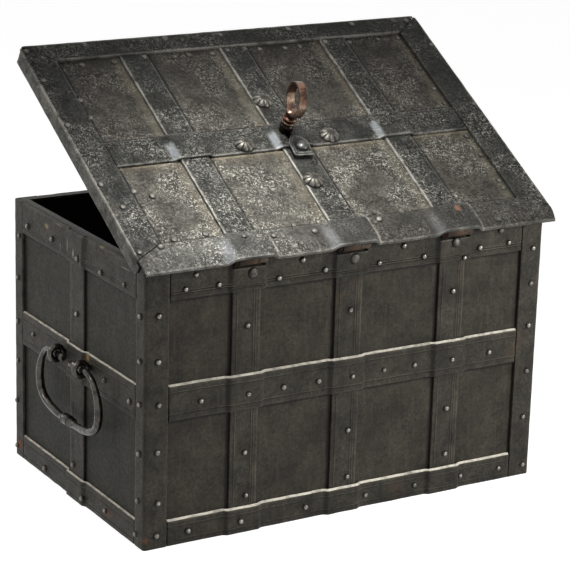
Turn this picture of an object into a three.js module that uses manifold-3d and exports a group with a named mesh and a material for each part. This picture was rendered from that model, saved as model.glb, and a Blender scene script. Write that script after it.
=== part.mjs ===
// A wrought-iron strongbox: sheet plates held by riveted bands and straps, a lid on three rolled-strap hinges,
// a key-driven lock with four shooting bolts under the lid, and a drop handle on each end.
// Millimetres, +Z up. The origin is the middle of the underside. The hinge side faces -Y and the lock side +Y.
import * as THREE from "three";
import { mergeVertices } from "three/addons/utils/BufferGeometryUtils.js";
import Module from "manifold-3d";

const wasm = await Module();
wasm.setup();

// Overall sizes of the box, over its bands
const bodyWidth = 424;
const bodyDepth = 274;
const bodyHeight = 260;

// Stock: plate, band and strap thicknesses, and the gap left between pieces that lie on each other
const sheet = 2;
const bandThickness = 2.8;
const strapThickness = 2.2;
const seatGap = 0.3;
const floorThickness = 2.5;
const edgeChamfer = 0.5;
const cutOverrun = 5;

// Bands round the box
const topBandWidth = 30.4;
const middleBandWidth = 33;
const middleBandBottom = 118.5;
const bottomBandWidth = 24.4;
const cornerLegLong = 24;
const cornerLegEnd = 18;
const cornerRadius = 3;
const bandEndGap = 0.4;

// Straps up the sides and over the lid
const strapWidth = 29;
const strapPitch = 110;
const middleStrapShift = -4;
const outerStrapShift = -1;
const endStrapShift = 0;
const joggleMargin = 1;
const joggleRamp = 5;
const rampSteps = 4;

// Catch rim inside the mouth
const rimWidth = 6;
const rimThickness = 2.5;

// Hinges: the axis lies outside the hinge side, near the top edge
const hingePinRadius = 2.2;
const hingeBore = 2.5;
const hingeAxisOut = 6;
const hingeAxisAboveTop = 0.1;
const hingeBendHeight = 5;
const hingeRollAngle = THREE.MathUtils.degToRad(260);
const hingeRollSteps = 20;
const bodyKnuckleShare = 2 / 3;
const knuckleGap = 0.4;
const pinHeadRadius = 3.8;
const pinHeadThickness = 1.4;
const pinSides = 16;

// Lid. Its own frame has X along the hinge, Y from the hinge to the front edge and Z square to the lid, zero at the
// top of the borders.
const lidAngle = THREE.MathUtils.degToRad(30.2);
const lidOverhang = 8;
const lidStartInside = 2;
const lidPlateThickness = 2;
const lidBorderThickness = 3;
const lidSideBorder = 30;
const lidFrontBorder = 23.6;
const lidHingeBorderInner = 19.3;
const lidFrontOverhang = 13.5;
const lidFlapEdge = -13;
const lidPlateStart = -2;
const lidMitreEnd = 3;
const lidFlapEndInset = 2.5;
const lidFlangeDepth = 16;
const lidFlangeThickness = 3;
const lidCornerRadius = 6;
const lidFlangeEndRadius = 8;
const lidFlangeReach = 5;
const mitreGap = 0.3;
const flapHalfRaise = 17;
const flapRamp = 9;
const flapDroop = 2.2;
const longStrapNear = 117.5;
const longStrapWidth = 32;

// Rosette bolts that hold the lock
const rosetteRadius = 10;
const rosetteHeight = 5.2;
const rosetteFacets = 10;
const rosetteShank = 3;
const rosetteAside = 5;
const rosetteForward = 10;
const rosetteSpreadX = 46;
const rosetteSpreadS = 55;
const boltHoleGap = 0.3;

// Key and keyhole
const keyAside = 3;
const keyForward = 20.5;
const keyShank = 3.5;
const keyUpperShank = 4.8;
const keyCollar = 7;
const keyFoot = 6.8;
const keyFootTop = 9;
const keyCollarStart = 12;
const keyCollarPitch = 4.6;
const keyBowCentre = 40;
const keyBowRadius = 17;
const keyBowWall = 3.6;
const keyBowWidth = 8;
const keyBowBevel = 0.8;
const keyBowTurn = THREE.MathUtils.degToRad(10);
const bitReach = 8.5;
const bitThickness = 3;
const keyholeGap = 0.8;

// Keyhole cover
const coverWidth = 20;
const coverNeckWidth = 9;
const coverShoulder = 5;
const coverAside = 2;
const coverForward = 7.5;
const coverTurn = THREE.MathUtils.degToRad(-4);
const coverReach = 23;
const coverBack = 3.5;
const coverThickness = 3;
const coverStudRadius = 6.3;
const coverStudHeight = 4.4;
const coverStudReach = 13;
const coverPin = 2;
const coverBevel = 0.6;

// Lock: stock and clearances
const lockPlateThickness = 2.5;
const lockPlateMargin = 8;
const lockPlateCorner = 10;
const boltThickness = 3;
const boltHeadThickness = 6;
const lockGap = 0.3;
const boltStroke = 10;
const keyTurn = THREE.MathUtils.degToRad(60);
const crankPin = 2;
const slotGap = 0.4;

// Lock: rotor and bridge
const rotorRadius = 13.5;
const rotorThickness = 8;
const rotorHub = 5;
const rotorFloor = 1.7;
const bridgeRadius = 9;
const bridgeWidth = 10;
const bridgeHalfSpan = 22;
const bridgeLeg = 4;
const bridgeThickness = 3;
const bridgeHubGap = 0.4;

// Lock: bolts
const driverHalfWidth = 47;
const driverBack = 24;
const driverFront = 27;
const driverCorner = 6;
const sidePinReach = 30;
const stemWidth = 16;
const crossBarSpread = 60;
const crossBarStart = 79;
const crossBarWidth = 12;
const headWidth = 14;
const headLength = 25;
const headNose = 4;
const sideBarWidth = 12;
const boltTipGap = 5;
const stapleWall = 3;
const stapleWidth = 8;
const stapleGap = 0.6;
const sideStaplePitch = 92;
const sideStapleBack = 9;
const frontStapleBack = 9;

// Drop handles
const eyeRise = 5;
const handleAside = 4;
const handleAxisOut = 9.6;
const eyeSpread = 26;
const eyeRadius = 6.3;
const eyeBar = 3;
const eyeTang = 2.6;
const eyeHoleGap = 0.3;
const handleBar = 4;
const handleEndBar = 2.9;
const handleEndFlare = 4.2;
const handleHalfWidth = 62.5;
const handleDrop = 58;
const handleStubEnd = 10;
const knobRadius = 5.6;
const knobHalfLength = 11;

// Places worked out from the sizes above
const bandStack = seatGap + bandThickness;
const sheetHalfWidth = bodyWidth / 2 - bandStack;
const sheetHalfDepth = bodyDepth / 2 - bandStack;
const insideHalfWidth = sheetHalfWidth - sheet;
const insideHalfDepth = sheetHalfDepth - sheet;
const bandRise = strapThickness + seatGap;
const strapHalf = strapWidth / 2;
const strapPlaces = [-strapPitch + outerStrapShift, middleStrapShift, strapPitch + outerStrapShift];
const placeNames = ["left", "middle", "right"];
const topBandBottom = bodyHeight - topBandWidth;
const hingeAxisY = -bodyDepth / 2 - hingeAxisOut;
const hingeAxisZ = bodyHeight + hingeAxisAboveTop;
const rollRadius = hingeBore + strapThickness / 2;
const barrelRadius = hingeBore + strapThickness;
const halfLid = bodyWidth / 2 + lidOverhang;
const lidFrontEdge = bodyDepth - lidStartInside + lidFrontOverhang;
const handleHeight = middleBandBottom + middleBandWidth / 2 + eyeRise;

// Where the lock stands on the lid: the middle strap and the long strap carry it
const rosetteCentreX = middleStrapShift - rosetteAside;
const rosetteCentreS = longStrapNear + rosetteForward;
const keyX = middleStrapShift - keyAside;
const keyS = longStrapNear + keyForward;
const coverPivotX = middleStrapShift + coverAside;
const coverPivotS = longStrapNear + coverForward;

// Heights in the lid's frame
const borderTop = -seatGap;
const borderBottom = borderTop - lidBorderThickness;
const lidStrapTop = borderBottom + strapThickness;
const lidPlateTop = borderBottom - seatGap;
const lidPlateBottom = lidPlateTop - lidPlateThickness;
const lidStrapMiddle = borderBottom + strapThickness / 2;
const axisInLidZ = lidStrapMiddle - rollRadius;
const axisInLidS = -hingeAxisOut - lidStartInside;
const longStrapRaised = lidStrapTop + seatGap;
const longStrapTop = longStrapRaised + strapThickness;
const lockPlateTop = lidPlateBottom - lockGap;
const lockPlateBottom = lockPlateTop - lockPlateThickness;
const driverTop = lockPlateBottom - lockGap;
const driverBottom = driverTop - boltThickness;
const rotorTop = driverBottom - lockGap;
const rotorBottom = rotorTop - rotorThickness;
const sideBoltTop = rotorTop;
const sideBoltBottom = sideBoltTop - boltThickness;
const headTop = sideBoltBottom + boltHeadThickness;
const bridgeTop = rotorBottom - lockGap;
const bridgeBottom = bridgeTop - bridgeThickness;

// Materials
function iron(color, roughness, metalness) {
  return new THREE.MeshStandardMaterial({ color, roughness, metalness });
}
const bodyIron = iron(0x3a3834, 0.6, 0.7);
const bandIron = iron(0x44413b, 0.55, 0.7);
const lidIron = iron(0x5a5a56, 0.6, 0.7);
const lidBandIron = iron(0x4a4946, 0.55, 0.7);
const lockIron = iron(0x6a6862, 0.5, 0.8);
const brightIron = iron(0x76736b, 0.4, 0.8);
const rustyIron = iron(0x7a4a38, 0.7, 0.4);
const keyIron = iron(0x6b4a3c, 0.45, 0.7);

// Solids from closed geometries, and geometries back from solids
function solidOf(geometry) {
  const bare = geometry.index ? geometry.toNonIndexed() : geometry.clone();
  bare.deleteAttribute("normal");
  bare.deleteAttribute("uv");
  const merged = mergeVertices(bare, 1e-4);
  const vertProperties = new Float32Array(merged.attributes.position.array);
  const triVerts = new Uint32Array(merged.index.array);
  return new wasm.Manifold(new wasm.Mesh({ numProp: 3, vertProperties, triVerts }));
}

function geometryOf(solid) {
  const mesh = solid.getMesh();
  const geometry = new THREE.BufferGeometry();
  geometry.setAttribute("position", new THREE.BufferAttribute(mesh.vertProperties, 3));
  geometry.setIndex(new THREE.BufferAttribute(mesh.triVerts, 1));
  geometry.computeVertexNormals();
  return geometry;
}

function joined(...geometries) {
  return geometryOf(geometries.map(solidOf).reduce((whole, piece) => whole.add(piece)));
}

function cutBy(geometry, ...tools) {
  return geometryOf(tools.map(solidOf).reduce((rest, tool) => rest.subtract(tool), solidOf(geometry)));
}

function common(...geometries) {
  return geometryOf(geometries.map(solidOf).reduce((whole, piece) => whole.intersect(piece)));
}

// Extrusions: an outline drawn in the plane square to an axis, run from one place on that axis to another
function alongZ(shape, from, to, options = {}) {
  const geometry = new THREE.ExtrudeGeometry(shape, { depth: to - from, bevelEnabled: false, ...options });
  return geometry.translate(0, 0, from);
}

function alongX(shape, from, to) {
  const turned = new THREE.Matrix4().makeBasis(
    new THREE.Vector3(0, 1, 0),
    new THREE.Vector3(0, 0, 1),
    new THREE.Vector3(1, 0, 0),
  );
  return alongZ(shape, from, to).applyMatrix4(turned);
}

function alongY(shape, from, to) {
  return alongZ(shape, -to, -from).rotateX(Math.PI / 2);
}

function outline(points) {
  return new THREE.Shape(points.map(([x, y]) => new THREE.Vector2(x, y)));
}

function rectangle(x0, y0, x1, y1) {
  return outline([[x0, y0], [x1, y0], [x1, y1], [x0, y1]]);
}

function roundedRectangle(x0, y0, x1, y1, radius) {
  const shape = new THREE.Shape();
  shape.moveTo(x0 + radius, y0);
  shape.lineTo(x1 - radius, y0);
  shape.absarc(x1 - radius, y0 + radius, radius, -Math.PI / 2, 0);
  shape.lineTo(x1, y1 - radius);
  shape.absarc(x1 - radius, y1 - radius, radius, 0, Math.PI / 2);
  shape.lineTo(x0 + radius, y1);
  shape.absarc(x0 + radius, y1 - radius, radius, Math.PI / 2, Math.PI);
  shape.lineTo(x0, y0 + radius);
  shape.absarc(x0 + radius, y0 + radius, radius, Math.PI, 1.5 * Math.PI);
  return shape;
}

function box(x0, y0, z0, x1, y1, z1) {
  return alongZ(rectangle(x0, y0, x1, y1), z0, z1);
}

// A slot with round ends, from one point to another
function slotShape(x0, y0, x1, y1, radius) {
  const angle = Math.atan2(y1 - y0, x1 - x0);
  const shape = new THREE.Shape();
  shape.absarc(x1, y1, radius, angle - Math.PI / 2, angle + Math.PI / 2);
  shape.absarc(x0, y0, radius, angle + Math.PI / 2, angle + 1.5 * Math.PI);
  shape.closePath();
  return shape;
}

function cylinder(radius, x, y, from, to, sides = 18) {
  const geometry = new THREE.CylinderGeometry(radius, radius, to - from, sides);
  return geometry.rotateX(Math.PI / 2).translate(x, y, (from + to) / 2);
}

// A turned piece from a profile of [radius, height] that starts and ends on the axis, set upright at x, y
function turned(profile, x, y, sides = 32) {
  const points = profile.map(([radius, height]) => new THREE.Vector2(radius, height));
  return new THREE.LatheGeometry(points, sides).rotateX(Math.PI / 2).translate(x, y, 0);
}

// A smooth step from 0 to 1
function eased(share) {
  const t = Math.min(1, Math.max(0, share));
  return t * t * (3 - 2 * t);
}

// Side view of a strip that is joggled over what it crosses
function joggledOutline(start, end, crossings, halfWidth, ramp, rest, rise, thickness) {
  const under = [[start, rest]];
  for (const middle of crossings) {
    for (let i = 0; i <= rampSteps; i++) {
      const share = i / rampSteps;
      under.push([middle - halfWidth - ramp * (1 - share), rest + rise * eased(share)]);
    }
    for (let i = 0; i <= rampSteps; i++) {
      const share = i / rampSteps;
      under.push([middle + halfWidth + ramp * share, rest + rise * eased(1 - share)]);
    }
  }
  under.push([end, rest]);
  const over = under.map(([along, height]) => [along, height + thickness]).reverse();
  return outline([...under, ...over]);
}

// Section of a flat bar with its two outer edges broken
function barSection(from, to, low, high) {
  return outline([
    [from, low],
    [to, low],
    [to, high - edgeChamfer],
    [to - edgeChamfer, high],
    [from + edgeChamfer, high],
    [from, high - edgeChamfer],
  ]);
}

// A strip bent along a centreline, thickened square to it on both sides
function bentOutline(centreline, thickness) {
  const sides = [[], []];
  centreline.forEach((point, i) => {
    const before = centreline[Math.max(0, i - 1)];
    const after = centreline[Math.min(centreline.length - 1, i + 1)];
    const length = Math.hypot(after[0] - before[0], after[1] - before[1]);
    const normal = [-(after[1] - before[1]) / length, (after[0] - before[0]) / length];
    [1, -1].forEach((way, side) => {
      const shift = (way * thickness) / 2;
      sides[side].push([point[0] + normal[0] * shift, point[1] + normal[1] * shift]);
    });
  });
  return outline([...sides[1], ...sides[0].reverse()]);
}

// Scene: the box, and a frame that stands on each of its sides with Y pointing outwards
const strongbox = new THREE.Group();
const sides = {
  hinge_side: { angle: Math.PI, distance: sheetHalfDepth, half: bodyWidth / 2, leg: cornerLegLong, sign: -1 },
  lock_side: { angle: 0, distance: sheetHalfDepth, half: bodyWidth / 2, leg: cornerLegLong, sign: 1 },
  left_end: { angle: Math.PI / 2, distance: sheetHalfWidth, half: bodyDepth / 2, leg: cornerLegEnd, sign: 1 },
  right_end: { angle: -Math.PI / 2, distance: sheetHalfWidth, half: bodyDepth / 2, leg: cornerLegEnd, sign: -1 },
};
for (const side of Object.values(sides)) {
  side.frame = new THREE.Group();
  side.frame.rotation.z = side.angle;
  side.frame.position.set(-side.distance * Math.sin(side.angle), side.distance * Math.cos(side.angle), 0);
  strongbox.add(side.frame);
}

function addPiece(parent, name, geometry, material) {
  const mesh = new THREE.Mesh(geometry, material);
  mesh.name = name;
  parent.add(mesh);
  return mesh;
}

// Plates: the long sides run the full width and the ends fit between them, with the floor inside all four
function addPlates() {
  const long = rectangle(-sheetHalfWidth, insideHalfDepth, sheetHalfWidth, sheetHalfDepth);
  const wall = alongZ(long, 0, bodyHeight);
  addPiece(strongbox, "lock_side_plate", wall, bodyIron);
  addPiece(strongbox, "hinge_side_plate", wall.clone().rotateZ(Math.PI), bodyIron);
  const endHalf = insideHalfDepth - seatGap;
  const end = alongZ(rectangle(-sheetHalfWidth, -endHalf, -insideHalfWidth, endHalf), 0, bodyHeight);
  const holes = [-1, 1].map((way) => eyeHole(way * eyeSpread - handleAside));
  const pierced = cutBy(end, ...holes);
  addPiece(strongbox, "left_end_plate", pierced, bodyIron);
  addPiece(strongbox, "right_end_plate", pierced.clone().rotateZ(Math.PI), bodyIron);
  const floorX = insideHalfWidth - seatGap;
  const floorY = insideHalfDepth - 2 * seatGap;
  const floor = alongZ(rectangle(-floorX, -floorY, floorX, floorY), 0, floorThickness);
  addPiece(strongbox, "floor_plate", floor, bodyIron);
}

// The hole in the left end that a handle eye's tang passes through
function eyeHole(y) {
  const hole = cylinder(eyeTang + eyeHoleGap, 0, 0, -cutOverrun, bandStack + sheet + cutOverrun);
  return hole.rotateY(-Math.PI / 2).translate(-insideHalfWidth, y, handleHeight);
}

// Corner angles, rounded a little where they are bent: the leg on the long side is the wider one
function addCornerAngles() {
  const corners = { lock_right: [1, 1], lock_left: [-1, 1], hinge_left: [-1, -1], hinge_right: [1, -1] };
  const outX = bodyWidth / 2;
  const outY = bodyDepth / 2;
  const inX = outX - bandThickness;
  const inY = outY - bandThickness;
  for (const [name, [x, y]] of Object.entries(corners)) {
    const shape = new THREE.Shape();
    shape.moveTo(x * (outX - cornerLegLong), y * inY);
    shape.lineTo(x * inX, y * inY);
    shape.lineTo(x * inX, y * (outY - cornerLegEnd));
    shape.lineTo(x * outX, y * (outY - cornerLegEnd));
    shape.lineTo(x * outX, y * (outY - cornerRadius));
    shape.quadraticCurveTo(x * outX, y * outY, x * (outX - cornerRadius), y * outY);
    shape.lineTo(x * (outX - cornerLegLong), y * outY);
    shape.closePath();
    addPiece(strongbox, "corner_angle_" + name, alongZ(shape, 0, bodyHeight, { curveSegments: 4 }), bandIron);
  }
}

// Where the straps stand on a side, in that side's own frame
function strapsOn(name) {
  const side = sides[name];
  if (name.endsWith("end")) return [endStrapShift * side.sign];
  return strapPlaces.map((place) => place * side.sign);
}

// Bands: each runs between two corner angles and is joggled over the straps that it crosses
function addBands() {
  const levels = {
    top_band: [topBandBottom, bodyHeight],
    middle_band: [middleBandBottom, middleBandBottom + middleBandWidth],
    bottom_band: [0, bottomBandWidth],
  };
  for (const [sideName, side] of Object.entries(sides)) {
    const end = side.half - side.leg - bandEndGap;
    const crossings = strapsOn(sideName).sort((a, b) => a - b);
    const halfWidth = strapHalf + joggleMargin;
    const shape = joggledOutline(-end, end, crossings, halfWidth, joggleRamp, seatGap, bandRise, bandThickness);
    for (const [level, [from, to]] of Object.entries(levels)) {
      let band = alongZ(shape, from, to);
      if (level === "top_band" && sideName === "hinge_side") band = notchedForHinges(band, crossings);
      if (level === "middle_band" && sideName.endsWith("end")) band = piercedForEyes(band);
      addPiece(side.frame, level + "_" + sideName, band, bandIron);
    }
  }
}

// The top band is cut away where the hinge straps come out over it
function notchedForHinges(band, crossings) {
  const half = strapHalf + pinHeadThickness + 2 * knuckleGap;
  const notches = crossings.map((middle) =>
    box(middle - half, -cutOverrun, hingeNotchZ(), middle + half, bandStack * 4, bodyHeight + cutOverrun),
  );
  return cutBy(band, ...notches);
}

function hingeNotchZ() {
  return hingeAxisZ - rollRadius - hingeBendHeight + seatGap;
}

function piercedForEyes(band) {
  const holes = [-1, 1].map((way) => {
    const hole = cylinder(eyeTang + eyeHoleGap, 0, 0, -cutOverrun, bandStack * 2 + cutOverrun);
    return hole.rotateX(-Math.PI / 2).translate(way * eyeSpread - handleAside, 0, handleHeight);
  });
  return cutBy(band, ...holes);
}

// Plain straps on the lock side and the ends
function addPlainStraps() {
  const strap = alongZ(barSection(-strapHalf, strapHalf, seatGap, seatGap + strapThickness), 0, bodyHeight);
  strapsOn("lock_side").forEach((place, i) => {
    addPiece(sides.lock_side.frame, "lock_side_strap_" + placeNames[i], strap, bandIron).position.x = place;
  });
  for (const name of ["left_end", "right_end"]) {
    addPiece(sides[name].frame, name + "_strap", strap, bandIron).position.x = strapsOn(name)[0];
  }
}

// Centreline of a strap rolled round the hinge pin: points on an arc about the axis
function rollPoints(centre, startAngle, way) {
  const points = [];
  for (let i = 0; i <= hingeRollSteps; i++) {
    const angle = startAngle + (way * hingeRollAngle * i) / hingeRollSteps;
    points.push([centre[0] + rollRadius * Math.cos(angle), centre[1] + rollRadius * Math.sin(angle)]);
  }
  return points;
}

// Where one hinge's barrel is shared out: the box's knuckle has the long share, the lid's the short one
const knuckleSplit = -strapHalf + strapWidth * bodyKnuckleShare;

// Hinge straps: up the side, out over the notched top band, and rolled round the pin
function addHingeStraps() {
  const axisOut = -hingeAxisY - sheetHalfDepth;
  const low = seatGap + strapThickness / 2;
  const high = axisOut - rollRadius;
  const bendTop = hingeAxisZ - rollRadius + hingeBendHeight / 4;
  const bend = [];
  for (let i = 0; i <= 2 * rampSteps; i++) {
    const share = i / (2 * rampSteps);
    bend.push([low + (high - low) * eased(share), bendTop - hingeBendHeight * (1 - share)]);
  }
  const roll = rollPoints([axisOut, hingeAxisZ], Math.PI, -1);
  const shape = bentOutline([[low, 0], ...bend, ...roll], strapThickness);
  const strap = alongX(shape, -strapHalf, strapHalf);
  const floor = hingeAxisZ - barrelRadius - 2 * knuckleGap;
  const reach = axisOut + 2 * barrelRadius;
  const room = box(-strapWidth, -cutOverrun, floor, -knuckleSplit, reach, hingeAxisZ + 2 * barrelRadius);
  const knuckled = cutBy(strap, room);
  strapPlaces.forEach((place, i) => {
    const piece = addPiece(sides.hinge_side.frame, "hinge_strap_" + placeNames[i], knuckled, bandIron);
    piece.position.x = -place;
  });
}

// Hinge pins, headed at both ends
function addHingePins() {
  const half = strapHalf + knuckleGap;
  const profile = [
    [0, -half - pinHeadThickness],
    [pinHeadRadius * 0.7, -half - pinHeadThickness],
    [pinHeadRadius, -half - pinHeadThickness / 2],
    [pinHeadRadius, -half],
    [hingePinRadius, -half],
    [hingePinRadius, half],
    [pinHeadRadius, half],
    [pinHeadRadius, half + pinHeadThickness / 2],
    [pinHeadRadius * 0.7, half + pinHeadThickness],
    [0, half + pinHeadThickness],
  ];
  const pin = turned(profile, 0, 0, pinSides).rotateY(Math.PI / 2);
  strapPlaces.forEach((place, i) => {
    addPiece(strongbox, "hinge_pin_" + placeNames[i], pin, rustyIron).position.set(place, hingeAxisY, hingeAxisZ);
  });
}

// Catch rim: a flat frame riveted inside the mouth, under which the bolts shoot
function addCatchRim() {
  const outX = insideHalfWidth - seatGap;
  const outY = insideHalfDepth - seatGap;
  const frame = rectangle(-outX, -outY, outX, outY);
  const inX = insideHalfWidth - rimWidth;
  const inY = insideHalfDepth - rimWidth;
  frame.holes.push(rectangle(-inX, -inY, inX, inY));
  addPiece(strongbox, "catch_rim", alongZ(frame, bodyHeight - rimThickness, bodyHeight), bodyIron);
}

// A round bar swept along a curve in the plane of x and y, with its own radius at each step
function taperedBar(points, radii, sidesCount) {
  const positions = [];
  const rings = points.map((point, i) => {
    const before = points[Math.max(0, i - 1)];
    const after = points[Math.min(points.length - 1, i + 1)];
    const along = new THREE.Vector3().subVectors(after, before).normalize();
    const across = new THREE.Vector3(-along.y, along.x, 0);
    return Array.from({ length: sidesCount }, (_, k) => {
      const angle = (2 * Math.PI * k) / sidesCount;
      const offset = across.clone().multiplyScalar(radii[i] * Math.cos(angle));
      offset.z += radii[i] * Math.sin(angle);
      return point.clone().add(offset);
    });
  });
  const triangle = (...corners) => corners.forEach((v) => positions.push(v.x, v.y, v.z));
  for (let i = 0; i + 1 < rings.length; i++) {
    for (let k = 0; k < sidesCount; k++) {
      const next = (k + 1) % sidesCount;
      triangle(rings[i][k], rings[i][next], rings[i + 1][k]);
      triangle(rings[i][next], rings[i + 1][next], rings[i + 1][k]);
    }
  }
  const last = rings.length - 1;
  for (let k = 0; k < sidesCount; k++) {
    const next = (k + 1) % sidesCount;
    triangle(points[0], rings[0][next], rings[0][k]);
    triangle(points[last], rings[last][k], rings[last][next]);
  }
  const geometry = new THREE.BufferGeometry();
  return geometry.setAttribute("position", new THREE.Float32BufferAttribute(positions, 3));
}

// Drop handle: a bail with a moulded knob at the bottom, its ends turned in through the eyes
function handleGeometry() {
  const shares = [
    [0.352, 0], [0.44, 0], [0.55, 0.01], [0.77, -0.05], [0.93, -0.26], [1, -0.53], [0.93, -0.79], [0.7, -0.94],
    [0.35, -1], [0, -1],
  ];
  const half = shares.map(([y, z]) => new THREE.Vector3(y * handleHalfWidth, z * handleDrop, 0));
  half.unshift(new THREE.Vector3(handleStubEnd, 0, 0));
  const other = half.slice(0, -1).map((p) => new THREE.Vector3(-p.x, p.y, 0)).reverse();
  const curve = new THREE.CatmullRomCurve3([...half, ...other], false, "centripetal");
  const points = curve.getSpacedPoints(56);
  const radii = points.map((p, i) => {
    const fromEnd = Math.min(i, points.length - 1 - i);
    if (fromEnd < 2) return handleEndFlare;
    return handleEndBar + (handleBar - handleEndBar) * eased((Math.abs(p.y) / handleDrop) * 2);
  });
  const knob = turned(
    [
      [0, -knobHalfLength],
      [handleBar, -knobHalfLength],
      [knobRadius * 0.9, -knobHalfLength * 0.85],
      [knobRadius * 0.8, -knobHalfLength * 0.55],
      [knobRadius, -knobHalfLength * 0.3],
      [knobRadius, knobHalfLength * 0.3],
      [knobRadius * 0.8, knobHalfLength * 0.55],
      [knobRadius * 0.9, knobHalfLength * 0.85],
      [handleBar, knobHalfLength],
      [0, knobHalfLength],
    ],
    0,
    0,
    16,
  ).rotateY(Math.PI / 2).translate(0, -handleDrop, 0);
  return joined(taperedBar(points, radii, 10), knob);
}

// An eye for a handle: a ring on a tang that passes through the band and the end plate
function eyeGeometry() {
  const ring = new THREE.TorusGeometry(eyeRadius, eyeBar, 8, 20).rotateX(Math.PI / 2);
  const root = handleAxisOut + bandStack + sheet + seatGap * 4;
  const tang = cylinder(eyeTang, 0, 0, eyeRadius, root, 12).rotateY(Math.PI / 2);
  return joined(ring, tang);
}

function addHandles() {
  const bail = handleGeometry().applyMatrix4(
    new THREE.Matrix4().makeBasis(
      new THREE.Vector3(0, 1, 0),
      new THREE.Vector3(0, 0, 1),
      new THREE.Vector3(1, 0, 0),
    ),
  );
  const eye = eyeGeometry();
  for (const [name, way] of [["left", 1], ["right", -1]]) {
    const seat = new THREE.Group();
    seat.position.set((-way * bodyWidth) / 2 - way * handleAxisOut, -way * handleAside, handleHeight);
    seat.rotation.z = way === 1 ? 0 : Math.PI;
    strongbox.add(seat);
    addPiece(seat, name + "_handle", bail, brightIron);
    addPiece(seat, name + "_handle_eye_near", eye, brightIron).position.y = -way * eyeSpread;
    addPiece(seat, name + "_handle_eye_far", eye, brightIron).position.y = way * eyeSpread;
  }
}

// The lid's frame, turned open about the hinge axis
const lidPivot = new THREE.Group();
lidPivot.position.set(0, hingeAxisY, hingeAxisZ);
lidPivot.rotation.x = lidAngle;
strongbox.add(lidPivot);
const lid = new THREE.Group();
lid.position.set(0, -axisInLidS, -axisInLidZ);
lidPivot.add(lid);

// Outlines of the lid's four borders seen from above, mitred at the corners
function borderPlans() {
  const inX = halfLid - lidSideBorder;
  const inFront = lidFrontEdge - lidFrontBorder;
  const gap = mitreGap / 2;
  const radius = lidCornerRadius;
  const side = new THREE.Shape();
  side.moveTo(inX, inFront - 2 * gap);
  side.lineTo(inX, lidHingeBorderInner + 2 * gap);
  side.lineTo(halfLid, lidMitreEnd + 2 * gap);
  side.lineTo(halfLid, lidFrontEdge - radius - 2 * gap);
  side.lineTo(halfLid - radius * 0.3 + gap, lidFrontEdge - radius * 0.3 - 2 * gap);
  side.closePath();
  const front = new THREE.Shape();
  front.moveTo(-inX + gap, inFront);
  front.lineTo(inX - gap, inFront);
  front.lineTo(halfLid - radius * 0.3 - gap, lidFrontEdge - radius * 0.3);
  front.lineTo(halfLid - radius, lidFrontEdge);
  front.lineTo(-halfLid + radius, lidFrontEdge);
  front.lineTo(-halfLid + radius * 0.3 + gap, lidFrontEdge - radius * 0.3);
  front.closePath();
  return { side, front };
}

// An L section with a bent outer corner: the border's top leg and its turned-down flange, for a border on the + side
function flangedSection(inner, outer) {
  const bend = lidFlangeThickness - seatGap;
  const shape = new THREE.Shape();
  shape.moveTo(inner, borderBottom);
  shape.lineTo(outer - lidFlangeThickness, borderBottom);
  shape.lineTo(outer - lidFlangeThickness, -lidFlangeDepth);
  shape.lineTo(outer, -lidFlangeDepth);
  shape.lineTo(outer, borderTop - bend);
  shape.absarc(outer - bend, borderTop - bend, bend, 0, Math.PI / 2);
  shape.lineTo(inner, borderTop);
  shape.closePath();
  return shape;
}

function addLidBorders() {
  const plans = borderPlans();
  const low = -lidFlangeDepth - cutOverrun;
  const high = cutOverrun;
  const sideBar = alongY(flangedSection(halfLid - lidSideBorder, halfLid), 0, lidFrontEdge);
  const endRadius = lidFlangeEndRadius;
  const start = lidMitreEnd - lidFlangeReach;
  const view = roundedRectangle(start, -lidFlangeDepth, lidFrontEdge + 2 * endRadius, endRadius, endRadius);
  const sideView = alongX(view, 0, halfLid + cutOverrun);
  const flangeX = halfLid - lidFlangeThickness;
  const flangeTop = borderBottom - seatGap;
  const flange = box(flangeX, start, -lidFlangeDepth, halfLid, lidMitreEnd + endRadius, flangeTop);
  const right = joined(common(sideBar, alongZ(plans.side, low, high)), common(flange, sideView));
  addPiece(lid, "lid_border_right", right, lidBandIron);
  const left = geometryOf(solidOf(right).mirror([1, 0, 0]));
  addPiece(lid, "lid_border_left", left, lidBandIron);
  const frontBar = alongX(flangedSection(lidFrontEdge - lidFrontBorder, lidFrontEdge), -halfLid, halfLid);
  addPiece(lid, "lid_border_front", common(frontBar, alongZ(plans.front, low, high)), lidBandIron);
  addPiece(lid, "lid_border_hinge", hingeBorder(), lidBandIron);
}

// How far the hinge border is raised at x: 1 over a hinge, 0 between hinges
function raisedShare(x) {
  const distance = Math.min(...strapPlaces.map((place) => Math.abs(x - place)));
  return eased((flapHalfRaise + flapRamp - distance) / flapRamp);
}

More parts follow.
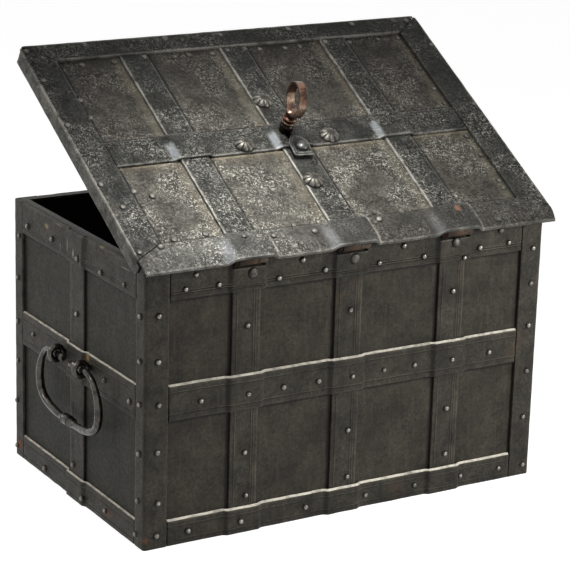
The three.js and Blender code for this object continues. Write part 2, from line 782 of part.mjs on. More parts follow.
// The hinge border: a strip that rises over each hinge and droops to a free edge between them
function hingeBorder() {
  const rows = [lidHingeBorderInner, lidMitreEnd, lidPlateStart - seatGap];
  const droopLength = lidPlateStart - seatGap - lidFlapEdge;
  for (let i = 1; i <= rampSteps; i++) rows.push(rows[2] - (droopLength * i) / rampSteps);
  const inX = halfLid - lidSideBorder - mitreGap / 2;
  const columns = [];
  for (const place of strapPlaces) {
    for (const way of [-1, 1]) {
      for (let i = 0; i <= rampSteps; i++) columns.push(place + way * (flapHalfRaise + (flapRamp * i) / rampSteps));
    }
  }
  columns.sort((a, b) => a - b);
  const endAt = (s) => {
    if (s > lidMitreEnd) return inX + (lidSideBorder * (lidHingeBorderInner - s)) / (lidHingeBorderInner - lidMitreEnd);
    return halfLid - mitreGap / 2 - (lidFlapEndInset * (lidMitreEnd - s)) / (lidMitreEnd - lidFlapEdge);
  };
  const under = rows.map((s) =>
    [-endAt(s), ...columns, endAt(s)].map((x) => {
      const raised = raisedShare(x);
      const droop = flapDroop * eased((rows[2] - s) / droopLength) * (1 - raised);
      return new THREE.Vector3(x, s, borderBottom + (strapThickness + seatGap) * raised - droop);
    }),
  );
  return slabFromGrid(under, lidBorderThickness);
}

// A closed slab between a grid of points and the same grid raised by a thickness
function slabFromGrid(under, thickness) {
  const over = under.map((row) => row.map((p) => new THREE.Vector3(p.x, p.y, p.z + thickness)));
  const positions = [];
  const quad = (a, b, c, d) => [a, b, c, a, c, d].forEach((v) => positions.push(v.x, v.y, v.z));
  const lastRow = under.length - 1;
  const lastColumn = under[0].length - 1;
  for (let i = 0; i < lastRow; i++) {
    for (let k = 0; k < lastColumn; k++) {
      quad(over[i][k], over[i + 1][k], over[i + 1][k + 1], over[i][k + 1]);
      quad(under[i][k], under[i][k + 1], under[i + 1][k + 1], under[i + 1][k]);
    }
    quad(under[i][0], under[i + 1][0], over[i + 1][0], over[i][0]);
    quad(under[i][lastColumn], over[i][lastColumn], over[i + 1][lastColumn], under[i + 1][lastColumn]);
  }
  for (let k = 0; k < lastColumn; k++) {
    quad(under[0][k], over[0][k], over[0][k + 1], under[0][k + 1]);
    quad(under[lastRow][k], under[lastRow][k + 1], over[lastRow][k + 1], over[lastRow][k]);
  }
  const geometry = new THREE.BufferGeometry();
  return geometry.setAttribute("position", new THREE.Float32BufferAttribute(positions, 3));
}

// The keyhole: a round hole with a slot for the bit
function keyholeCut(low, high) {
  const round = cylinder(keyUpperShank, keyX, keyS, low, high);
  const half = bitThickness / 2 + keyholeGap;
  return [round, box(keyX - half, keyS - bitReach - keyholeGap, low, keyX + half, keyS, high)];
}

function rosettePlaces() {
  return {
    front: [rosetteCentreX, rosetteCentreS + rosetteSpreadS],
    back: [rosetteCentreX, rosetteCentreS - rosetteSpreadS],
    left: [rosetteCentreX - rosetteSpreadX, rosetteCentreS],
    right: [rosetteCentreX + rosetteSpreadX, rosetteCentreS],
  };
}

function rosetteHoles(low, high) {
  return Object.values(rosettePlaces()).map(([x, s]) => cylinder(rosetteShank + boltHoleGap, x, s, low, high));
}

// Lid straps: along the lid and rolled round the hinge pins, and the long strap joggled over them
function addLidStraps() {
  const end = lidFrontEdge - lidFrontBorder - bandEndGap;
  const roll = rollPoints([axisInLidS, axisInLidZ], Math.PI / 2, 1);
  const shape = bentOutline([[end, lidStrapMiddle], ...roll], strapThickness);
  const strap = alongX(shape, -strapHalf, strapHalf);
  const limit = axisInLidS + barrelRadius + knuckleGap * 2;
  const low = axisInLidZ - 2 * barrelRadius;
  const room = box(-strapWidth, axisInLidS - 2 * barrelRadius, low, knuckleSplit + knuckleGap, limit, cutOverrun);
  const knuckled = cutBy(strap, room);
  const through = [lidPlateBottom, longStrapTop + cutOverrun];
  strapPlaces.forEach((place, i) => {
    const placed = knuckled.clone().translate(place, 0, 0);
    const pierced = i === 1 ? cutBy(placed, ...keyholeCut(...through), ...rosetteHoles(...through)) : placed;
    addPiece(lid, "lid_strap_" + placeNames[i], pierced, lidBandIron);
  });
  const half = halfLid - lidSideBorder - bandEndGap;
  const over = strapHalf + joggleMargin;
  const profile = joggledOutline(-half, half, strapPlaces, over, joggleRamp, borderBottom, bandRise, strapThickness);
  const long = alongY(profile, longStrapNear, longStrapNear + longStrapWidth);
  const pinHole = cylinder(coverPin + boltHoleGap, coverPivotX, coverPivotS, ...through);
  const cuts = [...keyholeCut(...through), ...rosetteHoles(...through), pinHole];
  addPiece(lid, "lid_long_strap", cutBy(long, ...cuts), lidBandIron);
}

// A staple that guides a bolt: two legs and a web below it, drawn across the bolt
function stapleAcross(halfWidth, boltBottom) {
  const inside = halfWidth + stapleGap;
  const outside = inside + stapleWall;
  const web = boltBottom - lockGap;
  const shape = outline([
    [-outside, lidPlateTop - lidPlateThickness / 2],
    [-outside, web - stapleWall],
    [outside, web - stapleWall],
    [outside, lidPlateTop - lidPlateThickness / 2],
    [inside, lidPlateTop - lidPlateThickness / 2],
    [inside, web],
    [-inside, web],
    [-inside, lidPlateTop - lidPlateThickness / 2],
  ]);
  return shape;
}

// Lid plate, with the guide staples riveted to its underside
function addLidPlate() {
  const half = halfLid - lidFlangeThickness - bandEndGap;
  const front = lidFrontEdge - lidFlangeThickness - bandEndGap;
  const plate = alongZ(roundedRectangle(-half, lidPlateStart, half, front, 2), lidPlateBottom, lidPlateTop, {
    curveSegments: 3,
  });
  const staples = [];
  for (const way of [-1, 1]) {
    const outer = way * (sideBoltTip() - headLength - sideStapleBack);
    for (const x of [outer, outer - way * sideStaplePitch]) {
      const staple = alongX(stapleAcross(sideBarWidth / 2, sideBoltBottom), -stapleWidth / 2, stapleWidth / 2);
      staples.push(staple.translate(x, keyS, 0));
    }
    const finger = alongY(stapleAcross(headWidth / 2, sideBoltBottom), -stapleWidth / 2, stapleWidth / 2);
    staples.push(finger.translate(keyX + way * crossBarSpread, frontBoltTip() - frontStapleBack, 0));
  }
  const through = [lidPlateBottom - cutOverrun, lidPlateTop + cutOverrun];
  const pierced = cutBy(plate, ...keyholeCut(...through), ...rosetteHoles(...through));
  addPiece(lid, "lid_plate", joined(pierced, ...staples), lidIron);
}

// Where the drawn-back bolts' tips are: clear of the catch rim, along X and along the lid
function sideBoltTip() {
  return insideHalfWidth - rimWidth - boltTipGap;
}

function frontBoltTip() {
  return insideHalfDepth - rimWidth - boltTipGap - hingeAxisY + axisInLidS;
}

// Rosette bolts: a faceted domed head on a shank that holds the lock plate
function addRosettes() {
  const under = lidStrapTop + seatGap;
  const profile = [
    [0, lockPlateBottom],
    [rosetteShank, lockPlateBottom],
    [rosetteShank, under],
    [rosetteRadius * 0.92, under],
    [rosetteRadius, under + rosetteHeight * 0.12],
    [rosetteRadius * 0.82, under + rosetteHeight * 0.55],
    [rosetteRadius * 0.45, under + rosetteHeight * 0.9],
    [0, under + rosetteHeight],
  ];
  for (const [name, [x, s]] of Object.entries(rosettePlaces())) {
    addPiece(lid, "rosette_bolt_" + name, turned(profile, x, s, rosetteFacets), brightIron);
  }
}

// Keyhole cover: a small plate with a stud, pivoted so that its stud can hide the keyhole
function addKeyholeCover() {
  const low = longStrapTop + seatGap;
  const top = low + coverThickness;
  const half = coverWidth / 2;
  const neck = coverNeckWidth / 2;
  const corner = coverBevel * 2;
  const shape = outline([
    [-half + corner, -coverReach],
    [half - corner, -coverReach],
    [half, -coverReach + corner],
    [half, -coverShoulder],
    [neck, coverBack],
    [-neck, coverBack],
    [-half, -coverShoulder],
    [-half, -coverReach + corner],
  ]);
  const bevel = { bevelEnabled: true, bevelThickness: coverBevel, bevelSize: coverBevel, bevelSegments: 1 };
  const plate = alongZ(shape, low + coverBevel, top - coverBevel, {
    ...bevel,
    bevelOffset: -coverBevel,
  });
  const stud = turned(
    [
      [0, top - coverThickness / 2],
      [coverStudRadius, top - coverThickness / 2],
      [coverStudRadius, top + coverStudHeight * 0.2],
      [coverStudRadius * 0.8, top + coverStudHeight * 0.7],
      [coverStudRadius * 0.4, top + coverStudHeight * 0.95],
      [0, top + coverStudHeight],
    ],
    0,
    -coverStudReach,
    20,
  );
  const pin = cylinder(coverPin, 0, 0, lidStrapTop + seatGap, top + coverBevel, 12);
  const cover = joined(plate, stud, pin);
  const piece = addPiece(lid, "keyhole_cover", cover, brightIron);
  piece.position.set(coverPivotX, coverPivotS, 0);
  piece.rotation.z = coverTurn;
}

// Key: shank with a wide foot and turned collars, a flat ring bow a little out of the plane of the bit, and the bit
function addKey() {
  const tip = rotorBottom + rotorFloor + lockGap;
  const step = longStrapTop + seatGap * 2;
  const neck = keyUpperShank * 1.05;
  const profile = [[0, tip], [keyShank, tip], [keyShank, step], [keyFoot * 0.94, step], [keyFoot, keyFootTop]];
  profile.push([neck, keyFootTop + keyFoot - neck]);
  for (let i = 0; i < 2; i++) {
    const base = keyCollarStart + i * keyCollarPitch;
    profile.push([neck, base], [keyCollar, base + keyCollarPitch * 0.2], [keyCollar, base + keyCollarPitch * 0.5]);
    profile.push([neck, base + keyCollarPitch * 0.75]);
  }
  const bowFoot = keyBowCentre - keyBowRadius;
  profile.push([neck, bowFoot - keyBowWall / 2], [keyCollar * 0.9, bowFoot + keyBowWall / 2]);
  profile.push([neck, bowFoot + keyBowWall], [0, bowFoot + keyBowWall * 1.3]);
  const shank = turned(profile, 0, 0, 20);
  const ring = new THREE.Shape();
  ring.absarc(0, keyBowCentre, keyBowRadius - keyBowBevel, 0, 2 * Math.PI);
  const hole = new THREE.Path();
  hole.absarc(0, keyBowCentre, keyBowRadius - keyBowWall + keyBowBevel, 0, 2 * Math.PI);
  ring.holes.push(hole);
  const half = keyBowWidth / 2;
  const bow = alongZ(ring, -half + keyBowBevel, half - keyBowBevel, {
    bevelEnabled: true,
    bevelThickness: keyBowBevel,
    bevelSize: keyBowBevel,
    bevelSegments: 1,
    curveSegments: 16,
  });
  bow.rotateX(Math.PI / 2).rotateZ(Math.PI / 2 - keyBowTurn);
  const bit = box(-bitThickness / 2, -bitReach, tip, bitThickness / 2, 0, rotorTop - lockGap * 2);
  addPiece(lid, "key", joined(shank, bow, bit), keyIron).position.set(keyX, keyS, 0);
}

// Lock plate: held by the rosette bolts, pierced for the key
function addLockPlate() {
  const x = rosetteSpreadX + lockPlateMargin;
  const s = rosetteSpreadS + lockPlateMargin;
  const corner = lockPlateCorner;
  const shape = outline([
    [-x + corner, -s], [x - corner, -s], [x, -s + corner], [x, s - corner],
    [x - corner, s], [-x + corner, s], [-x, s - corner], [-x, -s + corner],
  ]);
  const plate = alongZ(shape, lockPlateBottom, lockPlateTop).translate(rosetteCentreX, rosetteCentreS, 0);
  const through = [lockPlateBottom - cutOverrun, lockPlateTop + cutOverrun];
  addPiece(lid, "lock_plate", cutBy(plate, ...keyholeCut(...through), ...rosetteHoles(...through)), lockIron);
}

// Rotor: turned by the key's bit, with a crank pin that drives the main bolt
function addRotor() {
  const disc = cylinder(rotorRadius, 0, 0, rotorBottom, rotorTop, 24);
  const hub = cylinder(rotorHub, 0, 0, bridgeBottom, rotorBottom + rotorFloor / 2);
  const angle = Math.PI + keyTurn / 2;
  const radius = crankRadius();
  const pinX = radius * Math.cos(angle);
  const pinY = radius * Math.sin(angle);
  const pin = cylinder(crankPin, pinX, pinY, rotorTop - rotorThickness / 2, driverTop, 12);
  const floor = rotorBottom + rotorFloor;
  const shank = cylinder(keyShank + slotGap, 0, 0, floor, rotorTop + cutOverrun);
  const half = bitThickness / 2 + slotGap;
  const slot = box(-half, -bitReach - slotGap, floor, half, 0, rotorTop + cutOverrun);
  const rotor = joined(cutBy(joined(disc, hub), shank, slot), pin);
  addPiece(lid, "lock_rotor", rotor, lockIron).position.set(keyX, keyS, 0);
}

// The crank's radius gives the main bolt its stroke over the key's turn
function crankRadius() {
  return boltStroke / (2 * Math.sin(keyTurn / 2));
}

// Bridge: a strap under the rotor, on two legs that pass through windows in the main bolt
function addBridge() {
  const web = alongZ(roundedRectangle(
    -bridgeHalfSpan, -bridgeWidth / 2, bridgeHalfSpan, bridgeWidth / 2, edgeChamfer), bridgeBottom, bridgeTop, {
    curveSegments: 2,
  });
  const boss = cylinder(bridgeRadius, 0, 0, bridgeBottom, bridgeTop, 24);
  const inner = bridgeHalfSpan - bridgeLeg;
  const legTop = lockPlateBottom - lockGap;
  const legs = [-1, 1].map((way) => {
    const near = Math.min(way * inner, way * bridgeHalfSpan);
    const far = Math.max(way * inner, way * bridgeHalfSpan);
    return box(near, -bridgeWidth / 2, bridgeBottom, far, bridgeWidth / 2, legTop);
  });
  const low = bridgeBottom - cutOverrun;
  const bore = cylinder(rotorHub + bridgeHubGap, 0, 0, low, bridgeTop + cutOverrun / 2);
  addPiece(lid, "lock_bridge", cutBy(joined(web, boss, ...legs), bore), lockIron).position.set(keyX, keyS, 0);
}

// Main bolt: a driver plate with its slots, a stem, and a cross bar that carries the two front heads
function addMainBolt() {
  const frontBar = crossBarStart;
  const shape = roundedRectangle(-driverHalfWidth, -driverBack, driverHalfWidth, driverFront, driverCorner);
  const plate = alongZ(shape, driverBottom, driverTop, { curveSegments: 4 });
  const stem = box(-stemWidth / 2, 0, driverBottom, stemWidth / 2, frontBar + crossBarWidth, driverTop);
  const reach = crossBarSpread + headWidth / 2;
  const bar = box(-reach, frontBar, driverBottom, reach, frontBar + crossBarWidth, driverTop);
  const tip = frontBoltTip() - keyS;
  const heads = [-1, 1].map((way) => {
    const middle = way * crossBarSpread;
    return alongZ(headOutline(frontBar, tip), sideBoltBottom, headTop).translate(middle, 0, 0);
  });
  const solid = joined(plate, stem, bar, ...heads);
  const low = driverBottom - cutOverrun;
  const high = driverTop + cutOverrun;
  const cuts = [
    slotShape(0, 0, 0, -boltStroke, keyShank + 2 * slotGap),
    slotShape(-crankRadius(), -boltStroke / 2, crankInner(), -boltStroke / 2, crankPin + slotGap),
    ...[-1, 1].map((way) =>
      slotShape(way * sidePinReach, 0, way * (sidePinReach + boltStroke), -boltStroke, crankPin + slotGap),
    ),
    ...[-1, 1].map((way) => legWindow(way)),
  ];
  const slotted = cutBy(solid, ...cuts.map((cut) => alongZ(cut, low, high, { curveSegments: 6 })));
  addPiece(lid, "main_bolt", slotted, lockIron).position.set(keyX, keyS, 0);
}

function crankInner() {
  return -crankRadius() * Math.cos(keyTurn / 2);
}

// The window that a bridge leg passes through, long enough for the stroke
function legWindow(way) {
  const near = bridgeHalfSpan - bridgeLeg - slotGap;
  const far = bridgeHalfSpan + slotGap;
  const half = bridgeWidth / 2 + slotGap;
  const x0 = Math.min(way * near, way * far);
  const x1 = Math.max(way * near, way * far);
  return rectangle(x0, -half - boltStroke, x1, half);
}

// A bolt head seen from above, with its nose drawn in
function headOutline(from, to) {
  const half = headWidth / 2;
  return outline([
    [-half, from],
    [half, from],
    [half, to - headNose / 2],
    [half - headNose / 2, to],
    [-half + headNose / 2, to],
    [-half, to - headNose / 2],
  ]);
}

// Side bolts: a bar with a pin in the main bolt's slanted slot, and a thick head at the tip
function addSideBolts() {
  for (const [name, way] of [["left", -1], ["right", 1]]) {
    const tip = sideBoltTip() - way * keyX;
    const shape = slotShape(0, sidePinReach, 0, tip - headLength, sideBarWidth / 2);
    const bar = alongZ(shape, sideBoltBottom, sideBoltTop, { curveSegments: 6 });
    const head = alongZ(headOutline(tip - headLength, tip), sideBoltBottom, headTop);
    const pin = cylinder(crankPin, 0, sidePinReach, sideBoltBottom + boltThickness / 2, driverTop, 12);
    const bolt = joined(bar, head, pin);
    const piece = addPiece(lid, name + "_bolt", bolt, lockIron);
    piece.rotation.z = (-way * Math.PI) / 2;
    piece.position.set(keyX, keyS, 0);
  }
}

addPlates();
addCornerAngles();
addBands();
addPlainStraps();
addHingeStraps();
addHingePins();
addCatchRim();
addHandles();
addLidPlate();
addLidBorders();
addLidStraps();
addRosettes();
addKeyholeCover();
addKey();
addLockPlate();
addRotor();
addBridge();
addMainBolt();
addSideBolts();

export default strongbox;
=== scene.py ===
import math

import bmesh
import bpy
from mathutils import Matrix, Vector, noise
from mathutils.bvhtree import BVHTree


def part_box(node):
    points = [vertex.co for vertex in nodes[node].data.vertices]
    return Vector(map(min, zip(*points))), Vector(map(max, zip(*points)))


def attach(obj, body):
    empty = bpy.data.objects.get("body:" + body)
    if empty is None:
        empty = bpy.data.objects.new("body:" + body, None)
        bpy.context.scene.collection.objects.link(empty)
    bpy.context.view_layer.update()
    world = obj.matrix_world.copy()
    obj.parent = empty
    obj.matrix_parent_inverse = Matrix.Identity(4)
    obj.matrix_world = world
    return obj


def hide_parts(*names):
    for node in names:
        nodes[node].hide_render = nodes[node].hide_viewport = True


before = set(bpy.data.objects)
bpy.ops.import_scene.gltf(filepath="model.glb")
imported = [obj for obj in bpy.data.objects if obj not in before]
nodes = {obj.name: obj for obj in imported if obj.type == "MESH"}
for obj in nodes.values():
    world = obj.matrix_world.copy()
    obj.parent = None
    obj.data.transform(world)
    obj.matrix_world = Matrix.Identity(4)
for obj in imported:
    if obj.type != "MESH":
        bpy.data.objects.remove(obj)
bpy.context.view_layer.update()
MM = 0.001

# Camera: a long lens from the hinge side's left corner, a little above the lid's hinge, as the chest was
# seen.
AZIMUTH = math.radians(-31.1811)
ELEVATION = math.radians(16.7198)
ROLL = math.radians(1.6596)
DISTANCE = 2181.63 * MM
TARGET = Vector((10.264, 0, 181.656)) * MM
back = Vector((
    math.sin(AZIMUTH) * math.cos(ELEVATION),
    -math.cos(AZIMUTH) * math.cos(ELEVATION),
    math.sin(ELEVATION),
))
level = (-back).cross(Vector((0, 0, 1))).normalized()
above = level.cross(-back)
right = level * math.cos(ROLL) + above * math.sin(ROLL)
up = above * math.cos(ROLL) - level * math.sin(ROLL)
lens = bpy.data.cameras.new("camera")
lens.sensor_width = 36
lens.lens = 143.009
lens.clip_end = 50
camera = bpy.data.objects.new("camera", lens)
looking = Matrix((right, up, back)).transposed().to_4x4()
camera.matrix_world = Matrix.Translation(TARGET + back * DISTANCE) @ looking
bpy.context.scene.collection.objects.link(camera)
bpy.context.scene.camera = camera


# Studio: a pale seamless floor, an even pale room and three soft lamps: one low at the right front, one
# close over the lid's hinge edge and one high behind the left end, so that the hinge half of the lid is the
# brightest face.
def linear(hexa):
    """An sRGB hex colour as linear RGBA."""
    parts = [int(hexa[i:i + 2], 16) / 255 for i in (1, 3, 5)]
    return tuple(c / 12.92 if c <= 0.04045 else ((c + 0.055) / 1.055) ** 2.4 for c in parts) + (1.0,)


def put(tree, kind, settings=None, **inputs):
    """Adds a node. settings are its own properties, or the two stops of a ramp; inputs are values, sockets
    or nodes by name, with _ for a space, or by number as n0, n1."""
    new = tree.nodes.new(kind)
    for key, value in (settings or {}).items():
        if key == "stops":
            for element, (place, color) in zip(new.color_ramp.elements, value):
                element.position = place
                element.color = color
        else:
            setattr(new, key, value)
    for key, value in inputs.items():
        numbered = key[0] == "n" and key[1:].isdigit()
        socket = new.inputs[int(key[1:])] if numbered else new.inputs[key.replace("_", " ")]
        if isinstance(value, bpy.types.Node):
            value = value.outputs[0]
        if isinstance(value, bpy.types.NodeSocket):
            tree.links.new(value, socket)
        else:
            socket.default_value = value
    return new


def calc(tree, kind, *values):
    """One step of arithmetic."""
    given = {f"n{i}": value for i, value in enumerate(values)}
    return put(tree, "ShaderNodeMath", {"operation": kind}, **given).outputs[0]


def times(tree, a, b):
    return calc(tree, "MULTIPLY", a, b)


def cleared(owner):
    """The empty node tree of a material or a world."""
    owner.use_nodes = True
    owner.node_tree.nodes.clear()
    return owner.node_tree


def by_eye(tree, unseen, seen):
    """Two shaders in one: seen is what the eye meets, also in a mirror, and unseen is what lights the
    chest."""
    rays = put(tree, "ShaderNodeLightPath").outputs
    share = calc(tree, "MAXIMUM", rays["Is Camera Ray"], rays["Is Glossy Ray"])
    share = calc(tree, "MAXIMUM", share, rays["Is Transmission Ray"])
    return put(tree, "ShaderNodeMixShader", n0=share, n1=unseen, n2=seen)


WHITE = (1, 1, 1, 1)
ROOM_LEVEL = 0.28
PAPER_GLOW = 0.81
FLOOR_HALF = 6.0
bpy.context.scene.view_settings.view_transform = "Standard"
world = bpy.data.worlds.new("studio")
bpy.context.scene.world = world
sky = cleared(world)
room = put(sky, "ShaderNodeBackground", Color=WHITE, Strength=ROOM_LEVEL)
white = put(sky, "ShaderNodeBackground", Color=WHITE, Strength=1.0)
put(sky, "ShaderNodeOutputWorld", Surface=by_eye(sky, room, white))

floor_mesh = bpy.data.meshes.new("studio_floor")
corners = [(x * FLOOR_HALF, y * FLOOR_HALF, 0) for x, y in ((-1, -1), (1, -1), (1, 1), (-1, 1))]
floor_mesh.from_pydata(corners, [], [(0, 1, 2, 3)])
floor = bpy.data.objects.new("studio_floor", floor_mesh)
bpy.context.scene.collection.objects.link(floor)
# The paper keeps the chest's shadow: only its lit part glows up to white
paper = bpy.data.materials.new("white_paper_floor")
tree = cleared(paper)
glow = put(tree, "ShaderNodeEmission", Color=WHITE, Strength=PAPER_GLOW)
matt = put(tree, "ShaderNodeBsdfDiffuse", Color=linear("#c9c9c9"))
lifted = put(tree, "ShaderNodeAddShader", n0=glow, n1=matt)
put(tree, "ShaderNodeOutputMaterial", Surface=by_eye(tree, matt, lifted))
floor.data.materials.append(paper)

# Each lamp's name, place, aim, width of its disk in metres, spread in degrees and watts
LAMPS = (
    ("lamp_right_front", (0.5, -0.6, 0.45), (0.1, 0, 0.2), 0.26, 180, 4),
    ("lamp_over_hinge", (-0.05, -0.13, 0.63), (-0.03, -0.16, 0.25), 0.16, 108, 1.5),
    ("lamp_left_back", (-1.3, 0.5, 1.15), (0, 0, 0.2), 0.4, 180, 8),
)
for name, at, aim, size, spread, watts in LAMPS:
    light = bpy.data.lights.new(name, "AREA")
    light.shape = "DISK"
    light.size = size
    light.spread = math.radians(spread)
    light.energy = watts
    shining = bpy.data.objects.new(name, light)
    turn = (Vector(aim) - Vector(at)).to_track_quat("-Z", "Y").to_matrix().to_4x4()
    shining.matrix_world = Matrix.Translation(at) @ turn
    shining.visible_camera = False
    bpy.context.scene.collection.objects.link(shining)


# Sheet plates: the four hammered sheets of the box's sides, 2 mm thick, oxidised nearly black. They are
# beaten flat by hand and so wave a little, and they are riveted to the bands and corner angles.
def smooth(share):
    """An even share from 0 to 1 with soft ends."""
    t = min(1.0, max(0.0, share))
    return t * t * (3 - 2 * t)


def wave(a, c, size, seed):
    """Soft noise from 0 to 1 over lengths of about size."""
    return 0.5 + 0.5 * max(-1.0, min(1.0, 1.4 * noise.noise(Vector((a / size, c / size, seed * 7.31)))))


def mm_box(name):
    """The corners of a solid in millimetres."""
    low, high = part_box(name)
    return low / MM, high / MM


def loft(rings, marks, loop=False):
    """Faces through rings of points, closed into a loop or with flat ends. marks are (edge, groove, inner)
    per section point. Returns (points, faces, marks)."""
    count = len(rings[0])
    points = [p for ring in rings for p in ring]
    faces = []
    last = len(rings) if loop else len(rings) - 1
    for i in range(last):
        j = (i + 1) % len(rings)
        for k in range(count):
            n = (k + 1) % count
            faces.append((i * count + k, i * count + n, j * count + n, j * count + k))
    if not loop:
        faces.append(tuple(reversed(range(count))))
        faces.append(tuple(range((len(rings) - 1) * count, len(rings) * count)))
    return points, faces, list(marks) * len(rings)


def make(name, *parts, sharp=38):
    """One object from lofted parts in millimetres, with its marks as attributes and its sharp edges kept."""
    points, faces, marks = [], [], []
    for part_points, part_faces, part_marks in parts:
        first = len(points)
        points += [p * MM for p in part_points]
        faces += [tuple(first + k for k in face) for face in part_faces]
        marks += part_marks
    mesh = bpy.data.meshes.new(name)
    mesh.from_pydata(points, [], faces)
    for index, label in enumerate(("edge", "groove", "inner")):
        attribute = mesh.attributes.new(label, "FLOAT", "POINT")
        attribute.data.foreach_set("value", [mark[index] for mark in marks])
    shape = bmesh.new()
    shape.from_mesh(mesh)
    bmesh.ops.recalc_face_normals(shape, faces=shape.faces)
    limit = math.radians(sharp)
    for face in shape.faces:
        face.smooth = True
    for edge in shape.edges:
        edge.smooth = len(edge.link_faces) == 2 and edge.calc_face_angle(0) < limit
    shape.to_mesh(mesh)
    shape.free()
    piece = bpy.data.objects.new(name, mesh)
    bpy.context.scene.collection.objects.link(piece)
    return piece


def flat_section(low, high, thick, scribes=(), spacing=3.0, rounding=0.9, low_side=(0.25, 1.0),
                 high_side=(1.0, 0)):
    """Section of a flat bar from low to high: its foot, two rounded upper edges, and a groove with a bright
    lip (painted highlight) at each scribe. low_side and high_side say how much each side gets of pale edge
    (rubbing and painted highlight) and of dark (painted shade). Each point is (across, height, edge, groove,
    inner); inner paints the foot black as shade."""
    turn = 0.29 * rounding
    rub_and_light, side_shade = low_side
    points = [
        (low, 0, 0, side_shade, 1), (low, 0.3, rub_and_light, side_shade, 0), (low, thick - rounding, rub_and_light, side_shade, 0),
        (low + turn, thick - turn, rub_and_light, 0.5 * side_shade, 0), (low + rounding, thick, 0.9 * rub_and_light, 0, 0),
    ]
    inner = [(low + 2.6, 0, 0, 0), (high - 2.6, 0, 0, 0)]
    for middle in scribes:
        inner += [(middle - 0.5, 0, 0.3, 0), (middle, -0.45, 1, 0), (middle + 0.5, 0, 0.1, 2.2),
                  (middle + 1.1, 0, 0, 0)]
    inner.sort()
    filled = [inner[0]]
    for point in inner[1:]:
        gap = point[0] - filled[-1][0]
        extra = int(gap / spacing)
        start = filled[-1][0]
        filled += [(start + gap * (i + 1) / (extra + 1), 0, 0, 0) for i in range(extra)]
        filled.append(point)
    points += [(c, thick + sink, edge, groove, 0) for c, sink, groove, edge in filled]
    rub_and_light, side_shade = high_side
    points += [
        (high - rounding, thick, 0.9 * rub_and_light, 0, 0), (high - turn, thick - turn, rub_and_light, 0.5 * side_shade, 0),
        (high, thick - rounding, rub_and_light, side_shade, 0), (high, 0.3, rub_and_light, side_shade, 0), (high, 0, rub_and_light, side_shade, 1),
    ]
    return points


def moved_up(section, rise):
    """A section moved up."""
    return [(c, h + rise, *rest) for c, h, *rest in section]


def bar(place, section, ends, lift=None, remap=None, stops=(), step=2.5, seed=0.0, dent=0.22, wander=0.3,
        rounding=0.9, dent_size=9.0):
    """A forged bar: its section run between its ends. place turns (along, across, height) into a point;
    ends gives where it starts and stops for each point of its section; lift raises it over what it
    crosses."""
    low = min(p[0] for p in section)
    high = max(p[0] for p in section)
    top = max(p[1] for p in section)
    longest = max(b - a for a, b in (ends(c, h) for c, h, *_ in section))
    count = max(2, round(longest / step))
    shares = {i / count for i in range(count + 1)}
    for inset in (0.3 * rounding / longest, rounding / longest):
        shares |= {inset, 1 - inset}
    start = ends(section[0][0], section[0][1])[0]
    shares |= {(stop - start) / longest for stop in stops}
    rings = []
    for share in sorted(shares):
        ring = []
        for c, h, edge, groove, inner in section:
            a0, a1 = ends(c, h)
            a = a0 + (a1 - a0) * share
            near = min(a - a0, a1 - a)
            v = (c - low) / (high - low)
            across = c
            across += wander * wave(a, 11.0, 14, seed) * (1 - v)
            across -= wander * wave(a, 29.0, 14, seed + 3) * v
            if remap:
                across = remap(a, across)
            height = h
            if h > top - 1.5 and not inner:
                if near < rounding:
                    height -= rounding - math.sqrt(max(0, rounding ** 2 - (rounding - near) ** 2))
                height -= dent * wave(a, c, dent_size, seed)
            height += lift(a, c) if lift else 0
            ring.append(place(a, across, height))
        rings.append(ring)
    return loft(rings, [(p[2], p[3], p[4]) for p in section])


near_plate = mm_box("hinge_side_plate")
SHEET_X = near_plate[1].x
SHEET_Y = -near_plate[0].y
HEIGHT = near_plate[1].z
SHEET = near_plate[1].y - near_plate[0].y
SIDES = {
    "hinge_side": lambda a, c, h: Vector((a, -SHEET_Y - h, c)),
    "lock_side": lambda a, c, h: Vector((a, SHEET_Y + h, c)),
    "left_end": lambda a, c, h: Vector((-SHEET_X - h, a, c)),
    "right_end": lambda a, c, h: Vector((SHEET_X + h, a, c)),
}


def vectors(tree, kind, *values, **named):
    """One step of vector arithmetic. Its outputs are a vector and a number."""
    given = {f"n{i}": value for i, value in enumerate(values)}
    return put(tree, "ShaderNodeVectorMath", {"operation": kind}, **given, **named).outputs


def axes_of(tree, place):
    """X, Y and Z of a place."""
    return put(tree, "ShaderNodeSeparateXYZ", Vector=place).outputs


def speckle(tree, place, size, detail, roughness=0.5, distortion=0.0):
    """Noise over lengths of about size, in millimetres."""
    return put(tree, "ShaderNodeTexNoise", Vector=place, Scale=1000 / size, Detail=detail,
               Roughness=roughness, Distortion=distortion).outputs[0]


def level(tree, value, low, high, least=0.0, most=1.0):
    """least where a value is low, most where it is high, and even steps between."""
    return put(tree, "ShaderNodeMapRange", Value=value, From_Min=low, From_Max=high, To_Min=least,
               To_Max=most).outputs[0]


def blend(tree, share, under, hexa):
    """A share of one colour over another."""
    return put(tree, "ShaderNodeMix", {"data_type": "RGBA"}, n0=share, n6=under, n7=linear(hexa)).outputs[2]


def nearest(tree, value, lines):
    """How far a value is from the nearest of some lines, which are given in millimetres."""
    least = None
    for line in lines:
        gap = calc(tree, "ABSOLUTE", calc(tree, "SUBTRACT", value, line * MM))
        least = calc(tree, "MINIMUM", least, gap) if least else gap
    return least


